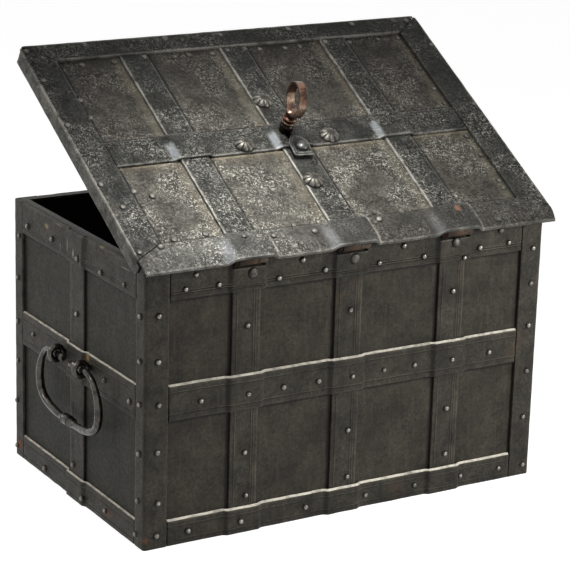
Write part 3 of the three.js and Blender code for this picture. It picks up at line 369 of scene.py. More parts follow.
def forged_iron(name, dark, mid, pale, mottle=22.0, stipple=0.3, curls=0.0, wear=0.3, dust=0.0, rust=0.0,
                rough=0.55, metal=0.35, shine=0.3, relief=0.2, streak=0.0, shade_and_marks=None):
    """Iron that was forged and has aged: blotches of scale, a fine stipple, curled bright flecks where it
    is pitted, edges rubbed bright and partly painted highlight, dark grooves and sides that are partly
    painted shade, dust on the ledges that face up, and black inner marks as painted shade. mottle is the
    blotches' size in millimetres, and the piece's own function adds its marks, painted shade and painted
    highlights to the colour."""
    material = bpy.data.materials.new(name)
    tree = cleared(material)
    place = put(tree, "ShaderNodeTexCoord").outputs["Object"]

    def mark(label):
        return put(tree, "ShaderNodeAttribute", {"attribute_name": label}).outputs["Fac"]

    broad = speckle(tree, place, mottle, 4.0, 0.6)
    grain = speckle(tree, place, 2.6, 3.0, 0.65)
    color = put(tree, "ShaderNodeValToRGB", {"stops": ((0.36, linear(dark)), (0.66, linear(mid)))}, Fac=broad)
    color = vectors(tree, "SCALE", color, Scale=level(tree, grain, 0.3, 0.7, 1 - stipple, 1 + stipple))[0]
    height = calc(tree, "MULTIPLY_ADD", grain, 0.5, broad)
    if curls:
        winding = speckle(tree, place, 5.0, 2.0, 0.6, 1.3)
        line = level(tree, calc(tree, "ABSOLUTE", calc(tree, "SUBTRACT", winding, 0.5)), 0.04, 0.005)
        patch = level(tree, speckle(tree, place, 38, 2.0), 0.4, 0.6, 0.12 * curls, 1.2 * curls)
        amount = times(tree, line, patch)
        amount = times(tree, amount, level(tree, grain, 0.38, 0.66, 0.15, 1.3))
        color = blend(tree, level(tree, winding, 0.58, 0.7, 0.0, 0.6), color, "#1b1a18")
        color = blend(tree, amount, color, pale)
        height = calc(tree, "MULTIPLY_ADD", line, 0.35, height)
    if streak:
        stretched = vectors(tree, "MULTIPLY", place, (300.0, 300.0, 26.0))[0]
        lines = speckle(tree, stretched, 1000, 3.0)
        color = blend(tree, level(tree, lines, 0.54, 0.78, 0.0, streak), color, pale)
    if rust:
        spread = speckle(tree, place, 52, 5.0, 0.75)
        color = blend(tree, level(tree, spread, 0.62, 0.72, 0.0, rust), color, "#7a4a2c")
    if shade_and_marks:
        color = shade_and_marks(tree, place, color, broad)
    # Dark grooves: dirt in the scribed lines, and painted shade along bar sides and round rivet feet
    color = blend(tree, times(tree, mark("groove"), 0.7), color, "#0f0e0c")
    # Pale edges: rubbed bright, and painted highlight on the lit sides of bars and the tops of rivets
    edge = mark("edge")
    rubbed = times(tree, edge, level(tree, broad, 0.35, 0.6, 0.25 * wear, wear))
    color = blend(tree, rubbed, color, pale)
    if dust:
        facing = axes_of(tree, put(tree, "ShaderNodeNewGeometry").outputs["Normal"])
        ledge = times(tree, level(tree, facing["Z"], 0.3, 0.6, 0.0, dust), edge)
        knots = level(tree, speckle(tree, place, 7, 3.0, 0.7), 0.3, 0.56, 0.4, 1.0)
        color = blend(tree, times(tree, ledge, knots), color, "#ece5d6")
    # Inner marks: painted shade, black at the feet of bars and on the insides of the box
    color = blend(tree, mark("inner"), color, "#0d0c0b")
    gloss = level(tree, grain, 0.3, 0.7, rough + 0.08, rough - 0.08)
    bump = put(tree, "ShaderNodeBump", Strength=1.0, Distance=relief * MM * 2, Height=height)
    shader = put(tree, "ShaderNodeBsdfPrincipled", Base_Color=color, Roughness=gloss, Metallic=metal,
                 Specular_IOR_Level=shine, Normal=bump)
    put(tree, "ShaderNodeOutputMaterial", Surface=shader)
    return material


by_slot = {}


def dress(piece, material, body, slot, *replaced):
    """Gives a piece its finish and its body, and hides the plain solids that it stands for."""
    piece.data.materials.clear()
    piece.data.materials.append(material)
    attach(piece, body)
    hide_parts(*replaced)
    by_slot.setdefault(slot, []).append(piece)
    return piece


def side_span(name, side):
    """A piece's two ends along its side and its lower and upper edge, in millimetres."""
    low, high = mm_box(name)
    return (low.x, high.x) if side.endswith("side") else (low.y, high.y), (low.z, high.z)


def painted_corner_shade(axis, sides, bottom_shade=0.0):
    """Painted shade in the corner beside each strap, at sides along an axis, and under the bands. The last
    argument paints the foot darker, as shade."""
    def shade_and_marks(tree, place, color, broad):
        axes = axes_of(tree, place)
        wide = calc(tree, "MULTIPLY_ADD", broad, -0.004, 0.0045)
        corner = calc(tree, "MINIMUM", nearest(tree, axes[axis], sides), nearest(tree, axes["Z"], BAND_FEET))
        share = level(tree, calc(tree, "SUBTRACT", corner, wide), 0.001, -0.0008, 0.0, 0.75)
        color = blend(tree, share, color, "#12110f")
        if bottom_shade:
            color = blend(tree, level(tree, axes["Z"], 0.17, 0.02, 0.0, bottom_shade), color, "#191814")
        return color
    return shade_and_marks


BAND_FEET = [mm_box(name)[0].z for name in ("middle_band_hinge_side", "top_band_hinge_side")]
plate_iron = forged_iron(
    "oxidised_sheet_iron", "#27241e", "#3a362e", "#7a7466", mottle=34, stipple=0.25, streak=0.1, rust=0.06,
    rough=0.6, metal=0.2, shine=0.2, relief=0.1, curls=0.07, shade_and_marks=painted_corner_shade("X", (-126, -19, 94, 189.5)))
end_iron = forged_iron(
    "oxidised_end_sheet_iron", "#26251f", "#35342d", "#70726a", mottle=30, stipple=0.22, streak=0.08,
    rust=0.12, rough=0.6, metal=0.2, shine=0.16, relief=0.1, curls=0.05, shade_and_marks=painted_corner_shade("Y", (-15, 116), 0.5))
for side, put_at in SIDES.items():
    (a0, a1), _ = side_span(side + "_plate", side)
    sheet = bar(
        lambda a, c, h: put_at(a, c, h - SHEET), flat_section(0, HEIGHT, SHEET, spacing=9, rounding=0.4),
        lambda c, h: (a0, a1), step=9, seed=len(side) + a0, dent=0.28, dent_size=34, wander=0, rounding=0.4)
    iron = plate_iron if side.endswith("side") else end_iron
    dress(make(side + "_sheet", sheet), iron, "root", "plate_iron", side + "_plate")


# Floor plate and catch rim: the bottom sheet, and the flat frame riveted inside the mouth that the bolts
# shoot under. Both are plain cut sheet, so the solids keep their shape and only get the iron's finish.
def refinish(material, *names):
    """A finish for solids that keep their shape."""
    for name in names:
        nodes[name].data.materials.clear()
        nodes[name].data.materials.append(material)


refinish(forged_iron(
    "filed_rim_iron", "#24211d", "#3a362e", "#8b8474", mottle=24, rust=0.5, shine=0.25), "catch_rim")
# The floor plate is painted near black, as painted shade inside the box
refinish(forged_iron(
    "shade_dark_floor_iron", "#0f0e0d", "#1b1917", "#3a3833", rust=0.2, rough=0.7, shine=0.2), "floor_plate")


# Corner angles: 2.8 mm bar bent over an edge, the wide leg on the long side. They tie the four sheets
# together and carry a row of rivets down each leg; hands and handling have rubbed the bend lighter.
STRAPS = {"left": -111.0, "middle": -4.0, "right": 109.0}
STRAPS_X = list(STRAPS.values())


def band_shade_and_marks(tree, place, color, broad):
    """Painted shade in the bend where a band climbs over the left side of a strap, and small ragged marks on
    top.
    """
    bends = nearest(tree, axes_of(tree, place)["X"], [middle - 18 for middle in STRAPS_X])
    color = blend(tree, level(tree, bends, 0.0032, 0.0008, 0.0, 0.6), color, "#12110f")
    for at, size, hexa, share in BODY_MARKS:
        shrink = Vector([1 / (s * MM) for s in size])
        shift = Vector([-a / s for a, s in zip(at, size)])
        away = vectors(tree, "LENGTH", vectors(tree, "MULTIPLY_ADD", place, shrink, shift)[0])["Value"]
        ragged = calc(tree, "MULTIPLY_ADD", broad, 1.6, away)
        color = blend(tree, level(tree, ragged, 1.8, 1.2, 0.0, share), color, hexa)
    return color


def band_finish(name, dust):
    """Brown-black iron with a faint stipple, dusty on its ledges or not."""
    return forged_iron(
        name, "#26241f", "#3a372f", "#857e70", mottle=18, wear=0.2, dust=dust, rust=0.1, metal=0.3, shine=0.2,
        relief=0.14, streak=0.08, curls=0.07, shade_and_marks=band_shade_and_marks)


# Each mark's place and half sizes in millimetres, its colour and its strength
BODY_MARKS = (
    ((-216, 63, 250), (9, 5, 3.5), "#9a8c66", 0.75), ((-216, -51, 260), (9, 6, 2), "#a08b5e", 0.7),
    ((-216, -24, 148), (9, 4, 5), "#a87c3a", 0.85), ((-216, 38, 258), (9, 9, 0.9), "#8d897c", 0.6),
    ((-216, 34, 237), (9, 1.6, 5), "#86837a", 0.55), ((-216, 14, 246), (9, 1.4, 9), "#86837a", 0.6),
    ((-216, 2, 240), (9, 1.6, 6), "#a3a096", 0.7), ((-216, -12, 238), (9, 1.6, 6), "#86837a", 0.6),
    ((-216, -98, 252), (9, 12, 0.9), "#8d897c", 0.6), ((-216, -66, 12), (9, 12, 6), "#6e4a34", 0.5),
    ((-216, -124, 12), (9, 5, 6), "#9a968c", 0.45), ((-214, -138, 10), (9, 5, 5), "#7a4a30", 0.6),
    ((-214, 128, 12), (9, 6, 6), "#8a4a2c", 0.6), ((-42, -138, 50), (22, 9, 13), "#55514a", 0.35),
    ((32, -139, 117), (1.4, 9, 6), "#8f897b", 0.5))
band_iron = band_finish("forged_band_iron", 0.0)
BAND = 2.8
BEND = 3.0
for corner, (sx, sy) in {"hinge_left": (-1, -1), "hinge_right": (1, -1), "lock_left": (-1, 1),
                         "lock_right": (1, 1)}.items():
    low, high = mm_box("corner_angle_" + corner)
    out_x = max(abs(low.x), abs(high.x))
    out_y = max(abs(low.y), abs(high.y))
    wide = high.x - low.x
    narrow = high.y - low.y

    def round_corner(a, c, h):
        depth = BAND - h
        if c <= -BEND:
            x, y = out_x + c, out_y - depth
        elif c >= BEND:
            x, y = out_x - depth, out_y - c
        else:
            turn = (c + BEND) / (2 * BEND) * math.pi / 2
            x = out_x - BEND + (BEND - depth) * math.sin(turn)
            y = out_y - BEND + (BEND - depth) * math.cos(turn)
        return Vector((sx * x, sy * y, a))

    section = flat_section(-wide, narrow, BAND, spacing=1.6) + [(0, 0, 0, 0, 1)]
    section = [(c, h, 0.15 if abs(c) < 2.5 and h > 0 else edge, g, i) for c, h, edge, g, i in section]
    angle = bar(round_corner, section, lambda c, h: (0, HEIGHT), step=4, seed=sx * 3 + sy, wander=0.5)
    dress(make("corner_" + corner, angle), band_iron, "root", "band_iron", "corner_angle_" + corner)


# Straps on the lock side and the ends: flat bars of 2.2 mm iron that stand on the floor and run up under
# the three bands. Three scribed lines run along each, and the bands' rivets hold them to the sheet.
STRAP = 2.2
SEAT = 0.3


def upright(put_at, middle):
    """A bar that stands on a side, its width centred on middle."""
    return lambda a, c, h: put_at(middle + c, a, h)


STRAP_HALF = 14.5
STRAP_SCRIBES = (-10.2, 7.0, 9.4)
for name in ("lock_side_strap_left", "lock_side_strap_middle", "lock_side_strap_right", "left_end_strap",
             "right_end_strap"):
    side = "lock_side" if name.startswith("lock") else name[:-6]
    middle = sum(side_span(name, side)[0]) / 2
    section = moved_up(flat_section(-STRAP_HALF, STRAP_HALF, STRAP, STRAP_SCRIBES), SEAT)
    strap = bar(upright(SIDES[side], middle), section, lambda c, h: (0, HEIGHT), step=4, seed=middle)
    dress(make(name + "_bar", strap), band_iron, "root", "band_iron", name)


# Bands: three round each side, joggled over the straps that they cross and butted against the corner
# angles. The scribed lines near their edges are the smith's, and dust lies white along their upper edges.
RISE = STRAP + SEAT
JOGGLE_HALF = 15.5


def joggle(a, middles, half=JOGGLE_HALF, ramps=(5.0, 5.0)):
    """How far a bar is raised at a: 1 over a crossing, 0 away from it."""
    raised = 0.0
    for middle in middles:
        away = a - middle
        ramp = ramps[0] if away < 0 else ramps[1]
        raised = max(raised, smooth((half + ramp - abs(away)) / ramp))
    return raised


NOTCH_HALF = 16.7
NOTCH_FLOOR = 251.8
DUST_FILLET = 1.1
NOTCH_STEP = 0.03
dusty_iron = band_finish("dusty_band_iron", 1.0)
for side, put_at in SIDES.items():
    crossings = STRAPS_X if side.endswith("side") else [0.0]
    for band in ("top_band", "middle_band", "bottom_band"):
        name = band + "_" + side
        (a0, a1), (z0, z1) = side_span(name, side)
        scribes = {"top_band": (z0 + 5.5, z0 + 7.6), "middle_band": (z0 + 6, z1 - 6.5),
                   "bottom_band": (z1 - 6, z0 + 5)}[band]
        section = flat_section(z0, z1, BAND, scribes)
        dusty = band != "top_band"
        if dusty:
            section[-2:] = [(z1 + DUST_FILLET, 0, 1, 0, 0)]
            if side.endswith("end"):
                section[-1] = (z1 + 0.3 * DUST_FILLET, 0, 1, 0, 0)
                section = [
                    (c, h, 0.35 * edge if z1 - 2 < c < z1 else edge, g, i) for c, h, edge, g, i in section]
        edges = [JOGGLE_HALF, JOGGLE_HALF + 2.5, JOGGLE_HALF + 5]
        notched = name == "top_band_hinge_side"
        if notched:
            edges += [NOTCH_HALF - NOTCH_STEP, NOTCH_HALF + NOTCH_STEP]

        def notch(a, z):
            cut = any(abs(a - middle) < NOTCH_HALF for middle in STRAPS_X)
            return z0 + (z - z0) * (NOTCH_FLOOR - z0) / (z1 - z0) if cut else z

        bar_parts = bar(
            put_at, section, lambda c, h: (a0, a1), lift=lambda a, c: SEAT + RISE * joggle(a, crossings),
            remap=notch if notched else None, seed=a0 + z0, wander=0.45,
            stops=[middle + way * edge for middle in crossings for way in (-1, 1) for edge in edges])
        dress(make(name + "_bar", bar_parts), dusty_iron if dusty else band_iron, "root", "band_iron", name)


# Hinge straps: up the hinge side, out over the notched top band, and each rolled round its pin into a
# knuckle. The rolls and pins have rusted copper brown.
hinge_iron = forged_iron(
    "rusted_hinge_iron", "#1f1713", "#3b2c23", "#846c58", mottle=8, wear=0.3, rust=0.5, rough=0.62, metal=0.3,
    shine=0.15)
AXIS_Y = -143.0
AXIS_Z = 260.1
ROLL_RADIUS = 3.6
ROLL_TURN = math.radians(260)
ROLL_STEPS = 36
KNUCKLE_SPLIT = 4.83


def strip(place, spine, thick, half, spans, scribes=(), seed=0.0, flip=1):
    """A flat bar bent along a spine of (along, height) points. spans gives its width at each station."""
    rings = []
    section = flat_section(-half, half, thick, scribes)
    for i, (p, q) in enumerate(spine):
        before = spine[max(0, i - 1)]
        after = spine[min(len(spine) - 1, i + 1)]
        run = Vector((after[0] - before[0], after[1] - before[1])).normalized()
        normal = Vector((-run.y, run.x)) * flip
        low, high = spans[i]
        ring = []
        for c, h, edge, groove, inner in section:
            v = (c + half) / (2 * half)
            across = low + (high - low) * v
            across += 0.3 * wave(i * 2.5, 5, 14, seed) * (1 - v) - 0.3 * wave(i * 2.5, 9, 14, seed) * v
            offset = h - thick / 2
            if not inner and h > thick - 1.0:
                offset -= 0.18 * wave(p, c, 9, seed)
            ring.append(place(p + normal.x * offset, across, q + normal.y * offset))
        rings.append(ring)
    return loft(rings, [(s[2], s[3], s[4]) for s in section])


def rolled(points, centre, start, way):
    """points with a roll added round centre, (along, height), from the angle start."""
    turns = [start + way * ROLL_TURN * i / ROLL_STEPS for i in range(1, ROLL_STEPS + 1)]
    p, q = centre
    return points + [(p + ROLL_RADIUS * math.sin(t), q + ROLL_RADIUS * math.cos(t)) for t in turns]


def finish_roll(piece, material, rolled_at):
    """Gives the faces of a roll, told by their centres, a finish of their own."""
    piece.data.materials.append(material)
    for face in piece.data.polygons:
        if rolled_at(face.center):
            face.material_index = 1


axis_out = -AXIS_Y - SHEET_Y
low_line = SEAT + STRAP / 2
climb = axis_out - ROLL_RADIUS - low_line
bend_top = AXIS_Z - ROLL_RADIUS + 1.25
CUT_Z = 254.6
ROLL_IRON_FROM = 255.5 * MM
OPEN_AIR_FROM = 254.5 * MM
for label, middle in STRAPS.items():
    line = [(4.0 * i, low_line) for i in range(63)]
    line += [(bend_top - 5 * (1 - i / 8), low_line + climb * smooth(i / 8)) for i in range(9)]
    spine = rolled(line, (AXIS_Z, axis_out), math.pi, -1)
    cut = next(i for i, (p, q) in enumerate(spine) if p > CUT_Z)
    spine.insert(cut, spine[cut])
    spine[cut] = (spine[cut + 1][0] - 0.02, spine[cut + 1][1])
    spans = [(-STRAP_HALF, STRAP_HALF if i < cut + 1 else KNUCKLE_SPLIT) for i in range(len(spine))]
    strap = strip(
        upright(SIDES["hinge_side"], middle), spine, STRAP, STRAP_HALF, spans, STRAP_SCRIBES, seed=middle)
    piece = dress(make("hinge_strap_" + label + "_bar", strap), band_iron, "root", "band_iron",
                  "hinge_strap_" + label)
    finish_roll(piece, hinge_iron, lambda centre: centre.z > ROLL_IRON_FROM)
    # The strap's back turns outwards on the roll, where it no longer gets the inside's painted black shade
    bare = piece.data.attributes["inner"].data
    for vertex in piece.data.vertices:
        if vertex.co.z > OPEN_AIR_FROM:
            bare[vertex.index].value = 0.0


def turned(profile, place, sides=40, shape=None, marks=(0.3, 0, 0), soil=None):
    """A piece turned on an axis: place takes (u, v, height). shape may change the radius with the angle,
    and soil gives the marks by angle, radius and height."""
    rings = []
    soiled = []
    for radius, height in profile:
        ring = []
        for k in range(sides):
            angle = 2 * math.pi * k / sides
            r, h = shape(angle, radius, height) if shape else (radius, height)
            ring.append(place(r * math.cos(angle), r * math.sin(angle), h))
            soiled.append(soil(angle, radius, height) if soil else marks)
        rings.append(ring)
    points, faces, _ = loft(rings, [marks] * sides)
    return points, faces, soiled


for label, middle in STRAPS.items():
    pin_half = STRAP_HALF + 0.4
    head = [(0.3, pin_half + 1.4), (2.2, pin_half + 1.35), (3.3, pin_half + 1.0), (3.8, pin_half + 0.5),
            (3.75, pin_half), (2.2, pin_half)]
    profile = [(r, -h) for r, h in head] + list(reversed(head))
    pin = turned(profile, lambda u, v, h: Vector((middle + h, AXIS_Y + u, AXIS_Z + v)), 28)
    dress(make("hinge_pin_" + label + "_forged", pin), hinge_iron, "root", "hinge_iron", "hinge_pin_" + label)


# Drop handles: a forged bail that tapers to its ends, with a moulded knob at the bottom, hung in two eyes
# whose tangs go through the end plate. Hands have rubbed the bail, and the tangs have rusted.
handle_iron = forged_iron(
    "rubbed_handle_iron", "#11100f", "#2b2925", "#c4beb1", mottle=9, rust=0.3, rough=0.22, metal=0.85,
    shine=0.5, relief=0.25)
HANDLE_Z = 140.0
HANDLE_X = 221.6
HANDLE_ASIDE = 4.0
EYE_SPREAD = 26.0
EYE_RADIUS = 6.3
EYE_BAR = 3.0
BAIL_SHARES = [(0.352, 0), (0.44, 0), (0.55, 0.01), (0.77, -0.05), (0.93, -0.26), (1, -0.53), (0.93, -0.79),
               (0.7, -0.94), (0.35, -1), (0, -1)]
BAIL_HALF = 62.5
BAIL_DROP = 58.0
KNOB_HALF = 14
KNOB = [(0.0, 5.5), (3.2, 5.6), (4.3, 4.3), (5.2, 4.2), (6.4, 5.2), (8.0, 5.4), (9.2, 4.0), (10.2, 3.5),
        (11.0, 4.2), (12.2, 3.9), (14.0, 2.9)]


def spline(points, steps):
    """Points along a smooth curve through the given ones, evenly spaced."""
    dense = []
    for i in range(len(points) - 1):
        p0, p1 = points[max(0, i - 1)], points[i]
        p2, p3 = points[i + 1], points[min(len(points) - 1, i + 2)]
        for k in range(40):
            t = k / 40
            dense.append(0.5 * (2 * p1 + (p2 - p0) * t + (2 * p0 - 5 * p1 + 4 * p2 - p3) * t * t
                                + (3 * p1 - p0 - 3 * p2 + p3) * t ** 3))
    dense.append(points[-1])
    lengths = [0.0]
    for a, b in zip(dense, dense[1:]):
        lengths.append(lengths[-1] + (b - a).length)
    result, k = [], 0
    for i in range(steps + 1):
        want = lengths[-1] * i / steps
        while k < len(dense) - 2 and lengths[k + 1] < want:
            k += 1
        share = (want - lengths[k]) / max(1e-9, lengths[k + 1] - lengths[k])
        result.append(dense[k].lerp(dense[k + 1], min(1, share)))
    return result


def even(share):
    return share


def table(pairs, x, ease=even):
    """A value read between the pairs of a table."""
    if x <= pairs[0][0]:
        return pairs[0][1]
    for (x0, y0), (x1, y1) in zip(pairs, pairs[1:]):
        if x <= x1:
            return y0 + (y1 - y0) * ease((x - x0) / (x1 - x0))
    return pairs[-1][1]


def swept(path, radius, out, sides=20, loop=False, marks=(0.4, 0, 0)):
    """A round bar swept along a flat path; out is the direction square to its plane."""
    rings = []
    for i, point in enumerate(path):
        before = path[i - 1 if loop else max(0, i - 1)]
        after = path[(i + 1) % len(path) if loop else min(len(path) - 1, i + 1)]
        across = (after - before).normalized().cross(out)
        ring = []
        for k in range(sides):
            angle = 2 * math.pi * k / sides
            r = radius(i, angle)
            ring.append(point + across * r * math.cos(angle) + out * r * math.sin(angle))
        rings.append(ring)
    return loft(rings, [marks] * sides, loop)


half_bail = [Vector((0, y * BAIL_HALF, z * BAIL_DROP)) for y, z in BAIL_SHARES]
half_bail.insert(0, Vector((0, 10, 0)))
bail_line = spline(half_bail + [Vector((0, -p.y, p.z)) for p in reversed(half_bail[:-1])], 190)
for name, way in (("left", -1), ("right", 1)):
    centre = Vector((way * HANDLE_X, way * HANDLE_ASIDE, HANDLE_Z))
    path = [centre + p for p in bail_line]

    def bail_radius(i, angle):
        point = bail_line[i]
        from_end = min(i, len(bail_line) - 1 - i)
        lowest = point.z < -BAIL_DROP * 0.8
        thick = 2.9 + 1.1 * smooth(2 * abs(point.z) / BAIL_DROP)
        thick -= 0.9 * smooth(1 - abs(point.y) / 34) * lowest
        if from_end < 4:
            thick = (2.6, 4.0, 4.2, 3.4)[from_end]
        if lowest and abs(point.y) < KNOB_HALF:
            thick = table(KNOB, abs(point.y), smooth)
        return thick * (1 - 0.07 * wave(point.y + 9 * angle, point.z, 6, way))

    bail = swept(path, bail_radius, Vector((1, 0, 0)))
    dress(make(name + "_bail", bail), handle_iron, name + "_handle", "handle_iron", name + "_handle")
    for label, place_y in (("near", -EYE_SPREAD), ("far", EYE_SPREAD)):
        middle = centre + Vector((0, place_y, 0))
        circle = [middle + Vector((math.cos(t), 0, math.sin(t))) * EYE_RADIUS
                  for t in (2 * math.pi * k / 48 for k in range(48))]
        ring = swept(circle, lambda i, angle: EYE_BAR * (1 - 0.09 * wave(i, angle * 4, 5, way + place_y)),
                     Vector((0, 1, 0)), 16, True)
        tang = [(2.4, 15.0), (2.55, 14.0), (2.6, 9.6), (2.9, 8.2), (2.6, 7.0), (2.2, 5.6)]
        stem = turned(tang, lambda u, v, h: middle + Vector((-way * h, u, v)), 20)
        dress(make(name + "_eye_" + label, ring, stem), handle_iron, "root", "handle_iron",
              name + "_handle_eye_" + label)


# Lid plate: one large pitted sheet with the bolts' guide staples riveted under it. It greyed in the air, and
# corrosion has left it covered in small pits and bare flecks that catch the light.
TILT = math.radians(30.2)
AXIS_S = -8.0
AXIS_N = -5.8


def lid_axes(tree, place):
    """Distances from the hinge axis on the lid: X along it and Y up the lid, in metres."""
    local = put(tree, "ShaderNodeMapping", {"vector_type": "TEXTURE"}, Vector=place,
                Location=Vector((0, AXIS_Y, AXIS_Z)) * MM, Rotation=(TILT, 0, 0))
    return axes_of(tree, local)


def lid_finish(name, dark, mid, pale, shade_and_marks, **more):
    """Greyed iron, dull between the bright flecks."""
    return forged_iron(
        name, dark, mid, pale, rough=0.6, metal=0.45, shine=0.06, relief=0.1, shade_and_marks=shade_and_marks, **more)


def lid_sheet_shade_and_marks(tree, place, color, broad):
    """Pale tan strips left of the straps and the right border and below the long strap, painted shadow lines
    right of the straps and along the borders, pale dust at the long strap's foot, and a far half darkened as
    painted shade."""
    axes = lid_axes(tree, place)
    along, up_lid = axes["X"], axes["Y"]
    # Painted shade: the far half of the lid darker
    color = blend(tree, level(tree, up_lid, 0.09, 0.26, 0.0, 0.62), color, "#201e1b")
    shaken = nearest(tree, calc(tree, "MULTIPLY_ADD", broad, 0.012, along), (-123, -16, 97, 192))
    color = blend(tree, level(tree, shaken, 0.009, 0.003, 0.0, 0.11), color, "#8b8270")
    below = calc(tree, "MULTIPLY_ADD", broad, 0.012, up_lid)
    foot = times(tree, level(tree, below, 0.118, 0.132, 0.0, 0.09), level(tree, below, 0.14, 0.136))
    color = blend(tree, foot, color, "#8a7c64")
    # Painted shadow lines right of the straps and the left border, and beyond the flap's and the long strap's
    # edges
    shadow_line = nearest(tree, along, (-94.7, 12.3, 125.3, -188.2))
    shadow_line = calc(tree, "MINIMUM", shadow_line, nearest(tree, up_lid, (28.6, 158.8)))
    wide = calc(tree, "MULTIPLY_ADD", broad, 0.004, -0.0005)
    shadow_share = level(tree, calc(tree, "SUBTRACT", shadow_line, wide), 0.0008, -0.0006, 0.0, 0.75)
    color = blend(tree, shadow_share, color, "#0f0e0d")
    dust = times(tree, level(tree, up_lid, 0.1225, 0.1232), level(tree, up_lid, 0.1255, 0.125))
    return blend(tree, times(tree, dust, level(tree, broad, 0.35, 0.6, 0.0, 0.14)), color, "#b5a98f")


def lid_shade(tree, place, color, broad):
    """The far half darkened as painted shade, and the bend at the left of each crossing of the long strap
    rubbed pale and given a painted highlight.
    """
    axes = lid_axes(tree, place)
    color = blend(tree, level(tree, axes["Y"], 0.09, 0.26, 0.0, 0.5), color, "#191917")
    ramp = nearest(tree, axes["X"], [middle - 18 for middle in STRAPS_X])
    across = times(tree, level(tree, axes["Y"], 0.1175, 0.122), level(tree, axes["Y"], 0.1495, 0.144))
    share = times(tree, level(tree, ramp, 0.0055, 0.002, 0.0, 0.42), across)
    share = times(tree, share, level(tree, broad, 0.3, 0.5, 0.4, 1.0))
    return blend(tree, share, color, "#85898b")


refinish(lid_finish(
    "pitted_lid_sheet_iron", "#2b2925", "#44423c", "#bab6ac", lid_sheet_shade_and_marks, mottle=16, stipple=0.38, curls=0.55,
    rust=0.05), "lid_plate")


def on_lid(x, s, h):
    """A point of the lid: x along the hinge, s from the hinge towards the front edge, h square to the
    lid."""
    along, lifted = s - AXIS_S, h - AXIS_N
    return Vector((
        x,
        AXIS_Y + math.cos(TILT) * along - math.sin(TILT) * lifted,
        AXIS_Z + math.sin(TILT) * along + math.cos(TILT) * lifted,
    ))


# Lid borders: the front and side ones are angles with their flange turned down over the box, mitred at the
# corners; the hinge-side one is a loose flap, beaten up over each knuckle and drooping between them.
lid_band_iron = lid_finish(
    "worn_lid_band_iron", "#1c1c1a", "#31312e", "#b3b0a6", lid_shade, mottle=14, stipple=0.38, curls=0.5,
    wear=0.4, rust=0.04)
TOP = -0.3
UNDER = -3.3
EDGE_X = 220.0
FRONT = 285.5
INNER_X = 190.0
INNER_FRONT = 261.9
INNER_HINGE = 19.3
MITRE = 3.0
FLANGE = 16.0
FLANGE_TOP = -3.6
FLANGE_NEAR = -2.0
FLANGE_ROUND = 8.0


def flanged_section(inner, outer, low_side=(0.1, 1.0)):
    """Section of an angle: its top leg, the bend over the edge and the flange that hangs down."""
    top_leg = moved_up(flat_section(inner, outer, TOP - UNDER, low_side=low_side), UNDER)
    kept = [p for p in top_leg[:-5] if p[0] < outer - 2.0]
    bend = [(outer - 1.3 + 1.3 * math.sin(t), TOP - 1.3 + 1.3 * math.cos(t), 1, 0, 0)
            for t in (math.pi / 8 * k for k in range(5))]
    # The flange's face gets half the edge's pale as painted highlight, and its back is painted black as shade
    flange = [(outer, h, 0.5, 0, 0) for h in (-2.2, UNDER - 0.05, FLANGE_TOP, -5, -8, -9.5, -11, -12.5, -14)]
    lip = [(outer, -15.1, 0.8, 0, 0), (outer - 0.26, -15.74, 1, 0, 0), (outer - 0.9, -FLANGE, 0.8, 0, 0)]
    back = [(outer - 3, h, 0, 0, 1) for h in (-FLANGE, -14, -11, -8, FLANGE_TOP, UNDER)]
    return kept + bend + flange + lip + back


side_near = [(INNER_X, INNER_HINGE + 0.3), (EDGE_X, MITRE + 0.3)]


def side_start(c, h):
    """Where a side border starts: its top leg at the mitre, its flange a little nearer and rounded off
    below."""
    if h > FLANGE_TOP + 0.1:
        return table(side_near, c)
    below = max(0.0, FLANGE_ROUND - FLANGE - h)
    return FLANGE_NEAR + FLANGE_ROUND - math.sqrt(max(0.0, FLANGE_ROUND ** 2 - below ** 2))


side_far = [(INNER_X, INNER_FRONT - 0.3), (EDGE_X - 1.65, FRONT - 2.1), (EDGE_X, FRONT - 6.3)]
front_end = [(INNER_FRONT, INNER_X - 0.15), (FRONT - 1.8, EDGE_X - 1.95), (FRONT, EDGE_X - 6)]
for name, way in (("left", -1), ("right", 1)):
    border = bar(
        lambda a, c, h: on_lid(way * c, a, h), flanged_section(INNER_X, EDGE_X),
        lambda c, h: (side_start(c, h), table(side_far, c)), seed=way * 5, step=3)
    dress(make("lid_side_border_" + name, border), lid_band_iron, "lid", "lid_band_iron",
          "lid_border_" + name)
# The front border's inner edge gets a painted highlight, and its other side painted shade
border = bar(
    on_lid, flanged_section(INNER_FRONT, FRONT, (0.6, 0.3)),
    lambda c, h: (-table(front_end, c), table(front_end, c)), seed=8, step=3)
dress(make("lid_front_border", border), lid_band_iron, "lid", "lid_band_iron", "lid_border_front")


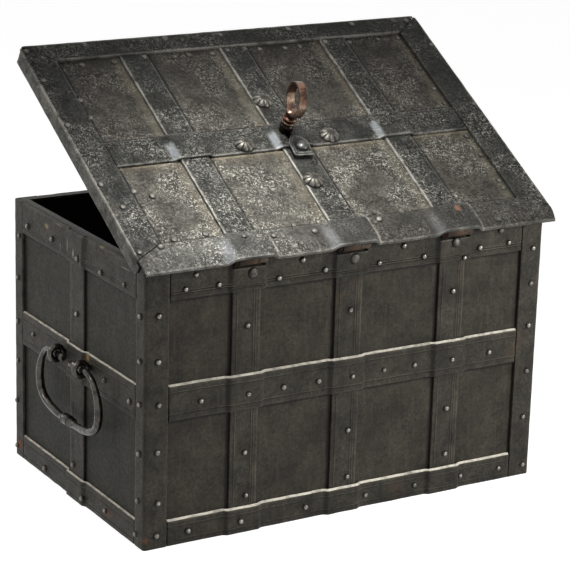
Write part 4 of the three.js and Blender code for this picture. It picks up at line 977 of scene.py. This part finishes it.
def flap_shade_and_rub(tree, place, color, broad):
    """Pale patches, rubbed and painted highlight, where the flap is bent up at the left of each knuckle, a
    right end and raised parts darkened as painted shade, a pale line at the foot of each right-hand bend, and
    one spot of rust."""
    axes = lid_axes(tree, place)
    bends = nearest(tree, axes["X"], [middle - 23 for middle in STRAPS_X])
    uneven = calc(tree, "MULTIPLY_ADD", broad, 0.012, bends)
    share = times(tree, level(tree, uneven, 0.014, 0.007, 0.0, 0.42), level(tree, axes["Y"], 0.026, 0.012))
    color = blend(tree, share, color, "#77797b")
    color = blend(tree, level(tree, axes["X"], -0.14, 0.02, 0.0, 0.62), color, "#262420")
    raised = nearest(tree, axes["X"], [middle + 3 for middle in STRAPS_X])
    color = blend(tree, level(tree, raised, 0.022, 0.015, 0.0, 0.4), color, "#252625")
    foot = nearest(tree, axes["X"], [middle + 25 for middle in STRAPS_X])
    pale = times(tree, level(tree, foot, 0.0016, 0.0006), level(tree, broad, 0.35, 0.6, 0.05, 0.4))
    color = blend(tree, pale, color, "#9a968a")
    rust = vectors(tree, "DISTANCE", place, on_lid(117, 13, TOP) * MM)["Value"]
    return blend(tree, level(tree, rust, 0.005, 0.002, 0.0, 0.6), color, "#8e6248")


flap_iron = lid_finish(
    "worn_flap_iron", "#2b2b28", "#4a4945", "#bcb9b0", flap_shade_and_rub, mottle=14, stipple=0.34, curls=0.55,
    wear=0.4, rust=0.03)
FLAP_EDGE = -13.0
flap_end = [(FLAP_EDGE, 217.35), (MITRE, 219.85), (INNER_HINGE, 189.85)]


def flap_lift(x, s):
    """The flap climbs over each knuckle and droops between them."""
    raised = joggle(x, STRAPS_X, 17.0, (11.0, 8.0))
    droop = 2.2 * smooth((-2.3 - s) / 10.7) * (1 - raised)
    return RISE * raised - droop


# The flap's outer edge gets a pale edge, partly painted highlight, and its inner edge painted shade
section = moved_up(flat_section(
    FLAP_EDGE, INNER_HINGE, TOP - UNDER, spacing=2.4, low_side=(0.4, 0), high_side=(0.1, 1.0)), UNDER)
flap = bar(on_lid, section, lambda c, h: (-table(flap_end, c), table(flap_end, c)), lift=flap_lift, seed=2,
           step=2.2, wander=0.4, dent=0.25)
dress(make("lid_hinge_flap", flap), flap_iron, "lid", "lid_band_iron", "lid_border_hinge")


# Lid straps: three bars from the hinge to the front border, each rolled round its hinge pin, and one long
# strap joggled over them. The middle strap and the long strap are pierced for the key.
def settle(piece):
    """Makes what a piece's modifiers show its mesh, and removes them."""
    bpy.context.view_layer.update()
    evaluated = piece.evaluated_get(bpy.context.evaluated_depsgraph_get())
    mesh = bpy.data.meshes.new_from_object(evaluated)
    piece.modifiers.clear()
    piece.data = mesh


def pierced(piece, *cutters):
    """Cuts pieces out of a mesh and removes the cutters."""
    for cutter in cutters:
        cut = piece.modifiers.new("cut", "BOOLEAN")
        cut.object = cutter
        cut.solver = "EXACT"
    settle(piece)
    for cutter in cutters:
        bpy.data.objects.remove(cutter)
    return piece


KEY_X = -7.0
KEY_S = 138.0


def keyhole_cutters():
    low, high = -9.0, 6.0
    hole = turned([(4.8, low), (4.8, high)], lambda u, v, h: on_lid(KEY_X + u, KEY_S + v, h), 32)
    slot = ((-2.3, KEY_S), (-2.3, KEY_S - 9.3), (2.3, KEY_S - 9.3), (2.3, KEY_S))
    slot_rings = [[on_lid(KEY_X + x, s, h) for x, s in slot] for h in (low, high)]
    return make("keyhole_cutter", hole), make("keyhole_slot_cutter", loft(slot_rings, [(0, 1, 0)] * 4))


knuckle_iron = forged_iron(
    "rubbed_knuckle_iron", "#2c251f", "#5b4f43", "#9c8b78", mottle=8, rough=0.62, metal=0.3, shine=0.15)
LID_STRAP_END = 261.5
KNUCKLE_IRON_FROM = -139.5 * MM
for label, middle in STRAPS.items():
    base_line = UNDER + STRAP / 2
    line = [(LID_STRAP_END - 3.0 * i, base_line) for i in range(90) if LID_STRAP_END - 3.0 * i > AXIS_S + 1]
    line.append((AXIS_S, base_line))
    spine = rolled(line, (AXIS_S, AXIS_N), 0.0, -1)
    cut = next(i for i, (p, q) in enumerate(spine) if p < AXIS_S + 5.5)
    spine.insert(cut, (spine[cut][0] + 0.02, spine[cut][1]))
    spans = [(-STRAP_HALF, STRAP_HALF if i < cut + 1 else -KNUCKLE_SPLIT - 0.4) for i in range(len(spine))]
    strap = strip(lambda a, c, h: on_lid(middle - c, a, h), spine, STRAP, STRAP_HALF, spans, seed=middle + 1,
                  flip=-1)
    piece = make("lid_strap_" + label + "_bar", strap)
    if label == "middle":
        pierced(piece, *keyhole_cutters())
    dress(piece, lid_band_iron, "lid", "lid_band_iron", "lid_strap_" + label)
    finish_roll(piece, knuckle_iron, lambda centre: centre.y < KNUCKLE_IRON_FROM)

LONG_STRAP_LOW = 117.5
LONG_STRAP_HIGH = 149.5
LONG_STRAP_HALF = 189.6
# The long strap's near edge gets a pale edge, rubbed and painted highlight, and its far side painted shade
section = moved_up(flat_section(LONG_STRAP_LOW, LONG_STRAP_HIGH, STRAP, low_side=(0.55, 0.1),
                                high_side=(0.15, 1.0)), UNDER)
long_strap = bar(on_lid, section, lambda c, h: (-LONG_STRAP_HALF, LONG_STRAP_HALF),
                 lift=lambda a, c: RISE * joggle(a, STRAPS_X), seed=4)
piece = pierced(make("lid_long_strap_bar", long_strap), *keyhole_cutters())
dress(piece, lid_band_iron, "lid", "lid_band_iron", "lid_long_strap")


# Rosette bolts: four domed heads with petals hammered into them, of burnished iron. Their shanks go through
# the lid plate and hold the lock under it.
rosette_iron = forged_iron(
    "burnished_rosette_iron", "#1b1a17", "#312f2a", "#aaa599", mottle=7, wear=0.4, rough=0.45, metal=0.6,
    relief=0.15)
ROSETTE = 10.0
PETALS = 9
HEAD = [(0.5, -8.6), (3.0, -8.5), (3.0, -0.8), (8.9, -0.8), (9.5, -0.7), (9.95, -0.2), (9.7, 0.6), (9.0, 1.5),
        (7.9, 2.45), (6.4, 3.3), (4.6, 3.95), (2.6, 4.3), (0.9, 4.4), (0.2, 4.4)]


def petalled(angle, radius, height):
    """Valleys between the petals of a rosette."""
    if radius < 3.01 or height < -0.6:
        return radius, height
    valley = abs(math.cos(angle * PETALS / 2)) ** 10
    near_rim = smooth(radius / ROSETTE)
    return radius * (1 - 0.05 * valley * near_rim), height - 0.95 * valley * near_rim * (1 - 0.4 * near_rim)


def petal_soil(angle, radius, height):
    """Dirt in the valleys between the petals, a dark ring round the rim, and petals rubbed bright."""
    if height < 0:
        return 0.1, 1.0, 0
    valley = abs(math.cos(angle * PETALS / 2)) ** 6 * smooth(radius / 4)
    rubbed = 0.6 * (1 - valley) * smooth((radius - 1.5) / 4)
    return rubbed, 0.9 * valley + 0.9 * smooth((radius - 8.4) / 1.4), 0


for label, x, s, spin in (("front", -9.0, 182.5, 0.2), ("back", -9.0, 72.5, 0.9), ("left", -55.0, 127.5, 0.5),
                          ("right", 37.0, 127.5, 1.4)):
    cs, sn = math.cos(spin), math.sin(spin)
    head = turned(HEAD, lambda u, v, h: on_lid(x + u * cs - v * sn, s + u * sn + v * cs, h), 72, petalled,
                  soil=petal_soil)
    dress(make("rosette_" + label, head), rosette_iron, "lid", "rosette_iron", "rosette_bolt_" + label)


# Keyhole cover: a small filed plate with a bevelled edge and a domed stud, which kept dirt out of the lock.
# It is turned aside on its pin, because the key is in.
COVER_TURN = math.radians(-4)
COVER_X, COVER_S = -2.0, 125.0


def on_cover(u, v, h):
    x = COVER_X + u * math.cos(COVER_TURN) - v * math.sin(COVER_TURN)
    s = COVER_S + u * math.sin(COVER_TURN) + v * math.cos(COVER_TURN)
    return on_lid(x, s, h)


outline = [(-8.8, -23), (8.8, -23), (10, -21.8), (10, -13), (10, -5), (4.5, 3.5), (-4.5, 3.5), (-10, -5),
           (-10, -13), (-10, -21.8)]
levels = ((1.0, 1.7), (1.0, 3.3), (0.965, 3.75), (0.9, 3.9), (0.86, 3.75), (0.8, 4.5), (0.7, 4.7))
rings = [[on_cover(u * k, -10 + (v + 10) * k, h) for u, v in outline] for k, h in levels]
rim_marks = ((0.9, 0, 0), (1, 0, 0), (1, 0, 0), (0.3, 0.6, 0), (0, 1, 0), (0.8, 0, 0), (0, 0, 0))
plate = (*loft(rings, rim_marks[:1] * len(outline))[:2], [mark for mark in rim_marks for _ in outline])
stud = turned(
    [(5.0, 3.4), (6.3, 4.2), (6.3, 5.0), (6.0, 6.2), (5.0, 7.5), (3.4, 8.5), (1.4, 9.0), (0.2, 9.1)],
    lambda u, v, h: on_cover(u, v - 13, h), 36,
    soil=lambda angle, radius, height: (0.5 * (height > 7), 1.0 * (height < 5), 0))
pin = turned([(1.0, -0.8), (2.0, -0.7), (2.0, 4.9), (1.5, 5.3), (0.3, 5.4)], on_cover, 20)
cover_iron = forged_iron(
    "filed_cover_iron", "#171816", "#30312e", "#c3c2bb", mottle=9, wear=0.25, rust=0.2, rough=0.36, metal=0.7,
    relief=0.1)
dress(make("keyhole_cover_plate", plate, stud, pin, sharp=28), cover_iron, "keyhole_cover", "rosette_iron",
      "keyhole_cover")


# Key: forged and filed, with a collared shank and a flat ring for its bow. It is brown with old rust that
# the hand has polished.
key_iron = forged_iron(
    "brown_key_iron", "#1e110c", "#583a2c", "#e3c4ab", mottle=9, wear=0.5, rough=0.27, metal=0.85, shine=0.5,
    relief=0.12)


def on_key(u, v, h):
    return on_lid(KEY_X + u, KEY_S + v, h)


KEY_TIP = -18.1
shank = turned(
    [(1.0, KEY_TIP), (3.5, KEY_TIP + 0.6), (3.5, 2.0), (6.1, 2.0), (6.4, 2.4), (6.7, 7.4), (6.8, 8.8),
     (6.4, 9.7), (5.0, 10.8), (4.9, 12.2), (6.3, 12.6), (6.9, 13.2), (6.9, 14.0), (6.2, 14.6), (4.9, 15.2),
     (4.9, 16.6), (6.3, 17.1), (6.9, 17.7), (6.9, 18.6), (6.2, 19.3), (4.9, 20.0), (4.8, 21.0), (5.8, 22.6),
     (6.2, 24.4), (5.7, 25.9), (4.2, 27.0), (2.0, 27.5), (0.3, 27.7)], on_key, 32,
    soil=lambda angle, radius, height: (0.4 * (radius > 6.25 and height > 12) + 0.3 * (height > 22),
                                        1.2 * (height < 11.5) + 0.8 * (radius < 5.5 and height < 21), 0))


def bow_light_and_shade(turn, inside):
    """Painted highlights low on the ring's inside and half-way up its hinge side, and painted shade between
    them. turn goes from 0 at the foot to 2."""
    pale, dark = ((0.3, 0.18), (0.68, 0.25)) if inside else ((1.5, 0.22), (1.82, 0.18))
    rubbed = smooth(1 - abs(turn - pale[0]) / pale[1])
    return 0.15 + 0.85 * rubbed, smooth(1 - abs(turn - dark[0]) / dark[1]), 0


BOW_TURN = math.radians(10)
BOW_COS, BOW_SIN = math.cos(BOW_TURN), math.sin(BOW_TURN)
BOW_STEPS = 56
BOW_RADIUS = 15.2
BOW_HEIGHT = 40
bow_rings = []
for k in range(BOW_STEPS):
    t = 2 * math.pi * k / BOW_STEPS
    ring = []
    for u, deep in ((-4, -1.1), (-3.2, -1.75), (0, -1.8), (3.2, -1.75), (4, -1.1), (4, 1.1), (3.2, 1.75),
                       (0, 1.8), (-3.2, 1.75), (-4, 1.1)):
        r = BOW_RADIUS + deep
        v = r * math.sin(t)
        h = BOW_HEIGHT - r * math.cos(t)
        ring.append(on_key(u * BOW_COS + v * BOW_SIN, v * BOW_COS - u * BOW_SIN, h))
    bow_rings.append(ring)
bow_points, bow_faces, _ = loft(bow_rings, [(0, 0, 0)] * 10, True)
bow_light = [bow_light_and_shade(2 * k / BOW_STEPS, n < 5) for k in range(BOW_STEPS) for n in range(10)]
bow = (bow_points, bow_faces, bow_light)
bit_rings = [[on_key(x, v, h) for x, v in ((-1.5, 0), (-1.5, -8.5), (1.5, -8.5), (1.5, 0))]
             for h in (KEY_TIP + 0.3, KEY_TIP + 5.6)]
bit = loft(bit_rings, [(0.6, 0, 0)] * 4)
dress(make("key_forged", shank, bow, bit, sharp=32), key_iron, "key", "key_iron", "key")


# Lock under the lid: a filed and oiled mechanism, bolted up by the rosettes' shanks. The solids keep their
# shape and get a brighter, brushed finish.
refinish(forged_iron(
    "filed_lock_iron", "#4a4842", "#6e6b63", "#a7a399", mottle=16, rust=0.2, rough=0.38, metal=0.8,
    relief=0.06), "lock_plate", "lock_bridge", "lock_rotor", "main_bolt", "left_bolt", "right_bolt")


# Rivets: hand-closed heads on every band, strap and border, each a low dome that is never quite round. They
# hold the bars to the sheets; the three large flat ones below the hinges take the hinges' load.
ROOT_RIVETS = {
    "hinge_side": (
        (-199, 218), (-199, 176), (-198, 136), (-199, 92), (-198, 44), (-199, 13), (201, 231), (201, 196),
        (201, 154), (202, 108), (201, 61), (204, 11), (-173, 239), (-140, 239), (-163, 251), (-79, 237),
        (-31, 239), (-55, 251), (27, 238), (76, 238), (53, 251), (139, 239), (120, 232), (162, 253),
        (172, 240), (-156, 133.5), (-109, 133.5), (-71, 133.5), (-34, 133.5), (1, 133.5), (37, 133.5),
        (71, 133.5), (112, 133.5), (156, 133.5), (-110, 197), (-110, 77), (-108, 35), (-2, 197), (0, 80),
        (1, 34), (111, 200), (110, 84), (111, 38), (-167, 12), (-114, 12), (-44, 12), (22, 12), (77, 12),
        (130, 12), (175, 12)),
    "left_end": (
        (-128, 217), (-128, 176), (-128, 136), (-128, 90), (-126, 45), (-123, 12), (124, 226), (128, 183),
        (129, 139), (129, 99), (132, 57), (132, 10), (105, 240), (51, 241), (-8, 238), (-51, 236),
        (-97, 237), (93, 136), (6, 133), (-59, 137), (-109, 133), (-1, 183), (7, 33), (68, 8), (-17, 8),
        (-62, 12)),
    "lock_side": (
        (-199, 222), (-199, 176), (-199, 136), (-199, 88), (-199, 42), (-199, 13), (199, 222), (199, 178),
        (199, 134), (199, 90), (199, 44), (199, 12), (-170, 240), (-140, 238), (-79, 239), (-55, 240),
        (-30, 238), (28, 239), (54, 240), (78, 238), (140, 240), (170, 239), (-158, 134), (-72, 135),
        (-36, 133), (38, 134), (72, 135), (156, 134), (-111, 196), (-111, 80), (-110, 38), (-4, 198),
        (-3, 82), (-4, 36), (109, 197), (110, 82), (109, 37), (-166, 12), (-72, 12), (-40, 12), (30, 12),
        (74, 12), (168, 12)),
    "right_end": (
        (-127, 220), (-128, 178), (-127, 136), (-127, 92), (-128, 46), (-128, 12), (127, 222), (128, 180),
        (128, 138), (128, 96), (127, 50), (128, 11), (-98, 239), (-52, 240), (2, 239), (50, 238),
        (100, 240), (-95, 135), (-58, 134), (0, 136), (57, 135), (96, 134), (1, 186), (0, 70), (0, 35),
        (-66, 11), (10, 11), (66, 12)),
}
BIG_RIVETS = ((-107, 246), (-1, 246), (110, 248))
LID_RIVETS = (
    (-154, 279), (-70, 279), (-10, 278), (67, 279), (141, 279), (191, 279), (206, 278), (-215, 277),
    (-214, 236), (-215, 175), (-215, 97), (-214, 12), (215, 239), (215, 149), (215, 67), (214, 17),
    (-166, 256), (-133, 256), (-101, 257), (-69, 256), (-53, 257), (-28, 256), (-12, 257), (7, 256),
    (25, 257), (53, 256), (70, 256), (99, 257), (127, 256), (162, 257), (185, 256), (186, 209), (186, 179),
    (186, 157), (185, 109), (186, 82), (186, 46), (185, 36), (-187, 209), (-187, 185), (-186, 87),
    (-171, 79), (-206, 67), (-192, 15), (-174, 24), (-142, 26), (-111, 13), (-81, 11), (-53, 23), (-27, 23),
    (-39, 10), (34, 26), (62, 23), (32, 14), (101, 28), (128, 25), (165, 16), (155, -5))


def rivet_tree():
    """Heads on points that carry 'facing' and 'centre': domes with a little random tilt, turn, size and
    dents, with painted shade round their foot and on the side away from the light, and a pale top that is
    partly painted highlight."""
    tree = bpy.data.node_groups.new("rivet_heads", "GeometryNodeTree")
    face = tree.interface
    face.new_socket("Geometry", in_out="INPUT", socket_type="NodeSocketGeometry")
    for label, kind, value in (("Head Radius", "Float", 0.003), ("Head Height", "Float", 0.0021),
                               ("Spread", "Float", 0.1), ("Tilt", "Float", 0.12), ("Dent", "Float", 0.0003),
                               ("Seed", "Int", 3), ("Soiled Side", "Vector", (0, 0, -1))):
        face.new_socket(label, in_out="INPUT", socket_type="NodeSocket" + kind).default_value = value
    face.new_socket("Iron", in_out="INPUT", socket_type="NodeSocketMaterial")
    face.new_socket("Geometry", in_out="OUTPUT", socket_type="NodeSocketGeometry")
    given = put(tree, "NodeGroupInput").outputs

    def named(label, kind="FLOAT_VECTOR"):
        return put(tree, "GeometryNodeInputNamedAttribute", {"data_type": kind}, Name=label)

    def store(shape, label, value):
        return put(tree, "GeometryNodeStoreNamedAttribute", {"data_type": "FLOAT", "domain": "POINT"},
                   Geometry=shape, Name=label, Value=value)

    where = put(tree, "GeometryNodeInputPosition")
    parts = axes_of(tree, where)
    flat = calc(tree, "MAXIMUM", parts["Z"], -0.12)
    domed = put(tree, "ShaderNodeCombineXYZ", X=parts["X"], Y=parts["Y"], Z=flat)
    ball = put(tree, "GeometryNodeMeshUVSphere", Segments=16, Rings=10, Radius=1.0)
    dome = put(tree, "GeometryNodeSetPosition", Geometry=ball, Position=domed)
    # Painted shade round the foot, and a pale top that is partly painted highlight
    dome = store(dome, "groove", level(tree, parts["Z"], 0.75, 0.25))
    dome = store(dome, "edge", level(tree, parts["Z"], 0.6, 0.95))
    radius = given["Head Radius"]
    size = put(tree, "ShaderNodeCombineXYZ", X=radius, Y=radius, Z=given["Head Height"])
    head = put(tree, "GeometryNodeTransform", Geometry=dome, Scale=size)
    lean = put(tree, "FunctionNodeRandomValue", {"data_type": "FLOAT_VECTOR"}, n0=(-1, -1, -1), n1=(1, 1, 1),
               Seed=given["Seed"])
    leaned = vectors(tree, "SCALE", lean, Scale=given["Tilt"])[0]
    turn = put(tree, "FunctionNodeAlignRotationToVector", {"axis": "Z"},
               Vector=vectors(tree, "ADD", named("facing"), leaned)[0])
    least = calc(tree, "SUBTRACT", 1.0, given["Spread"])
    most = calc(tree, "ADD", 1.0, given["Spread"])
    vary = put(tree, "FunctionNodeRandomValue", {"data_type": "FLOAT"}, n2=least, n3=most,
               Seed=calc(tree, "ADD", given["Seed"], 11.0)).outputs[1]
    placed = put(tree, "GeometryNodeInstanceOnPoints", Points=given["Geometry"], Instance=head, Rotation=turn,
                 Scale=vary)
    real = put(tree, "GeometryNodeRealizeInstances", Geometry=placed)
    # Painted shade on the side of each head away from the light
    off = vectors(tree, "SUBTRACT", where, named("centre"))[0]
    lower = vectors(tree, "DOT_PRODUCT", off, given["Soiled Side"])["Value"]
    under = level(tree, calc(tree, "DIVIDE", lower, radius), -0.6, 0.1)
    real = store(real, "groove", calc(tree, "MAXIMUM", under, named("groove", "FLOAT")))
    rough = put(tree, "ShaderNodeTexNoise", {"noise_dimensions": "3D"}, Vector=where, Scale=330.0, Detail=1.0)
    pushed = vectors(tree, "SUBTRACT", rough.outputs["Color"], (0.5, 0.5, 0.5))[0]
    dented = put(tree, "GeometryNodeSetPosition", Geometry=real,
                 Offset=vectors(tree, "SCALE", pushed, Scale=given["Dent"])[0])
    soft = put(tree, "GeometryNodeSetShadeSmooth", Geometry=dented)
    finished = put(tree, "GeometryNodeSetMaterial", Geometry=soft, Material=given["Iron"])
    put(tree, "NodeGroupOutput", Geometry=finished)
    return tree


def tree_of(pieces):
    """A search tree over the outer faces of some pieces."""
    points, faces = [], []
    for piece in pieces:
        first = len(points)
        points += [v.co.copy() for v in piece.data.vertices]
        faces += [tuple(first + k for k in face.vertices) for face in piece.data.polygons]
    return BVHTree.FromPolygons(points, faces)


def rivets(name, places, found, body, slot, iron, **sizes):
    """Rivet heads at places of (outside point, inward direction), dropped on the surface that they meet."""
    points, facing = [], []
    for outside, inward in places:
        hit = found.ray_cast(outside, inward)[0]
        if hit is not None:
            points.append(hit)
            facing.append(-inward)
    mesh = bpy.data.meshes.new(name)
    mesh.from_pydata(points, [], [])
    for label, vectors in (("facing", facing), ("centre", points)):
        attribute = mesh.attributes.new(label, "FLOAT_VECTOR", "POINT")
        attribute.data.foreach_set("vector", [c for v in vectors for c in v])
    piece = bpy.data.objects.new(name, mesh)
    bpy.context.scene.collection.objects.link(piece)
    heads = piece.modifiers.new("heads", "NODES")
    heads.node_group = rivet_heads
    values = {label.replace("_", " ").title(): value for label, value in sizes.items()}
    values["Iron"] = iron
    for item in rivet_heads.interface.items_tree:
        if item.in_out == "INPUT" and item.name in values:
            heads[item.identifier] = values[item.name]
    settle(piece)
    piece.data.name = name
    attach(piece, body)


rivet_heads = rivet_tree()
rivet_iron = forged_iron(
    "rivet_iron", "#2c2a26", "#55524a", "#c4c0b5", mottle=5, wear=0.55, rough=0.3, metal=0.6,
    shine=0.5, relief=0.1)
sunk_rivet_iron = forged_iron(
    "sunk_rivet_iron", "#24221f", "#4a473f", "#a5a196", mottle=5, rough=0.5, metal=0.5, relief=0.1)
DROPPED_FROM = 14
DROPPED_FROM_BEYOND_HINGE = 30
root_found = tree_of(by_slot["plate_iron"] + by_slot["band_iron"])
places = []
for side, spots in ROOT_RIVETS.items():
    put_at = SIDES[side]
    inward = (put_at(0, 0, 0) - put_at(0, 0, 1)).normalized()
    places += [(put_at(a, z, DROPPED_FROM) * MM, inward) for a, z in spots]
rivets("body_rivets", places, root_found, "root", "band_iron", rivet_iron, head_radius=0.0028,
       head_height=0.0026)
put_at = SIDES["hinge_side"]
places = [(put_at(a, z, DROPPED_FROM_BEYOND_HINGE) * MM, Vector((0, 1, 0))) for a, z in BIG_RIVETS]
rivets("hinge_rivets", places, root_found, "root", "band_iron", sunk_rivet_iron, head_radius=0.005,
       head_height=0.0022)
lid_found = tree_of(by_slot["lid_band_iron"] + [nodes["lid_plate"]])
inward = (on_lid(0, 0, 0) - on_lid(0, 0, 1)).normalized()
places = [(on_lid(x, s, DROPPED_FROM) * MM, inward) for x, s in LID_RIVETS]
rivets("lid_rivets", places, lid_found, "lid", "lid_band_iron", sunk_rivet_iron, head_radius=0.0034,
       head_height=0.0012, soiled_side=(-0.4, -0.8, -0.45))
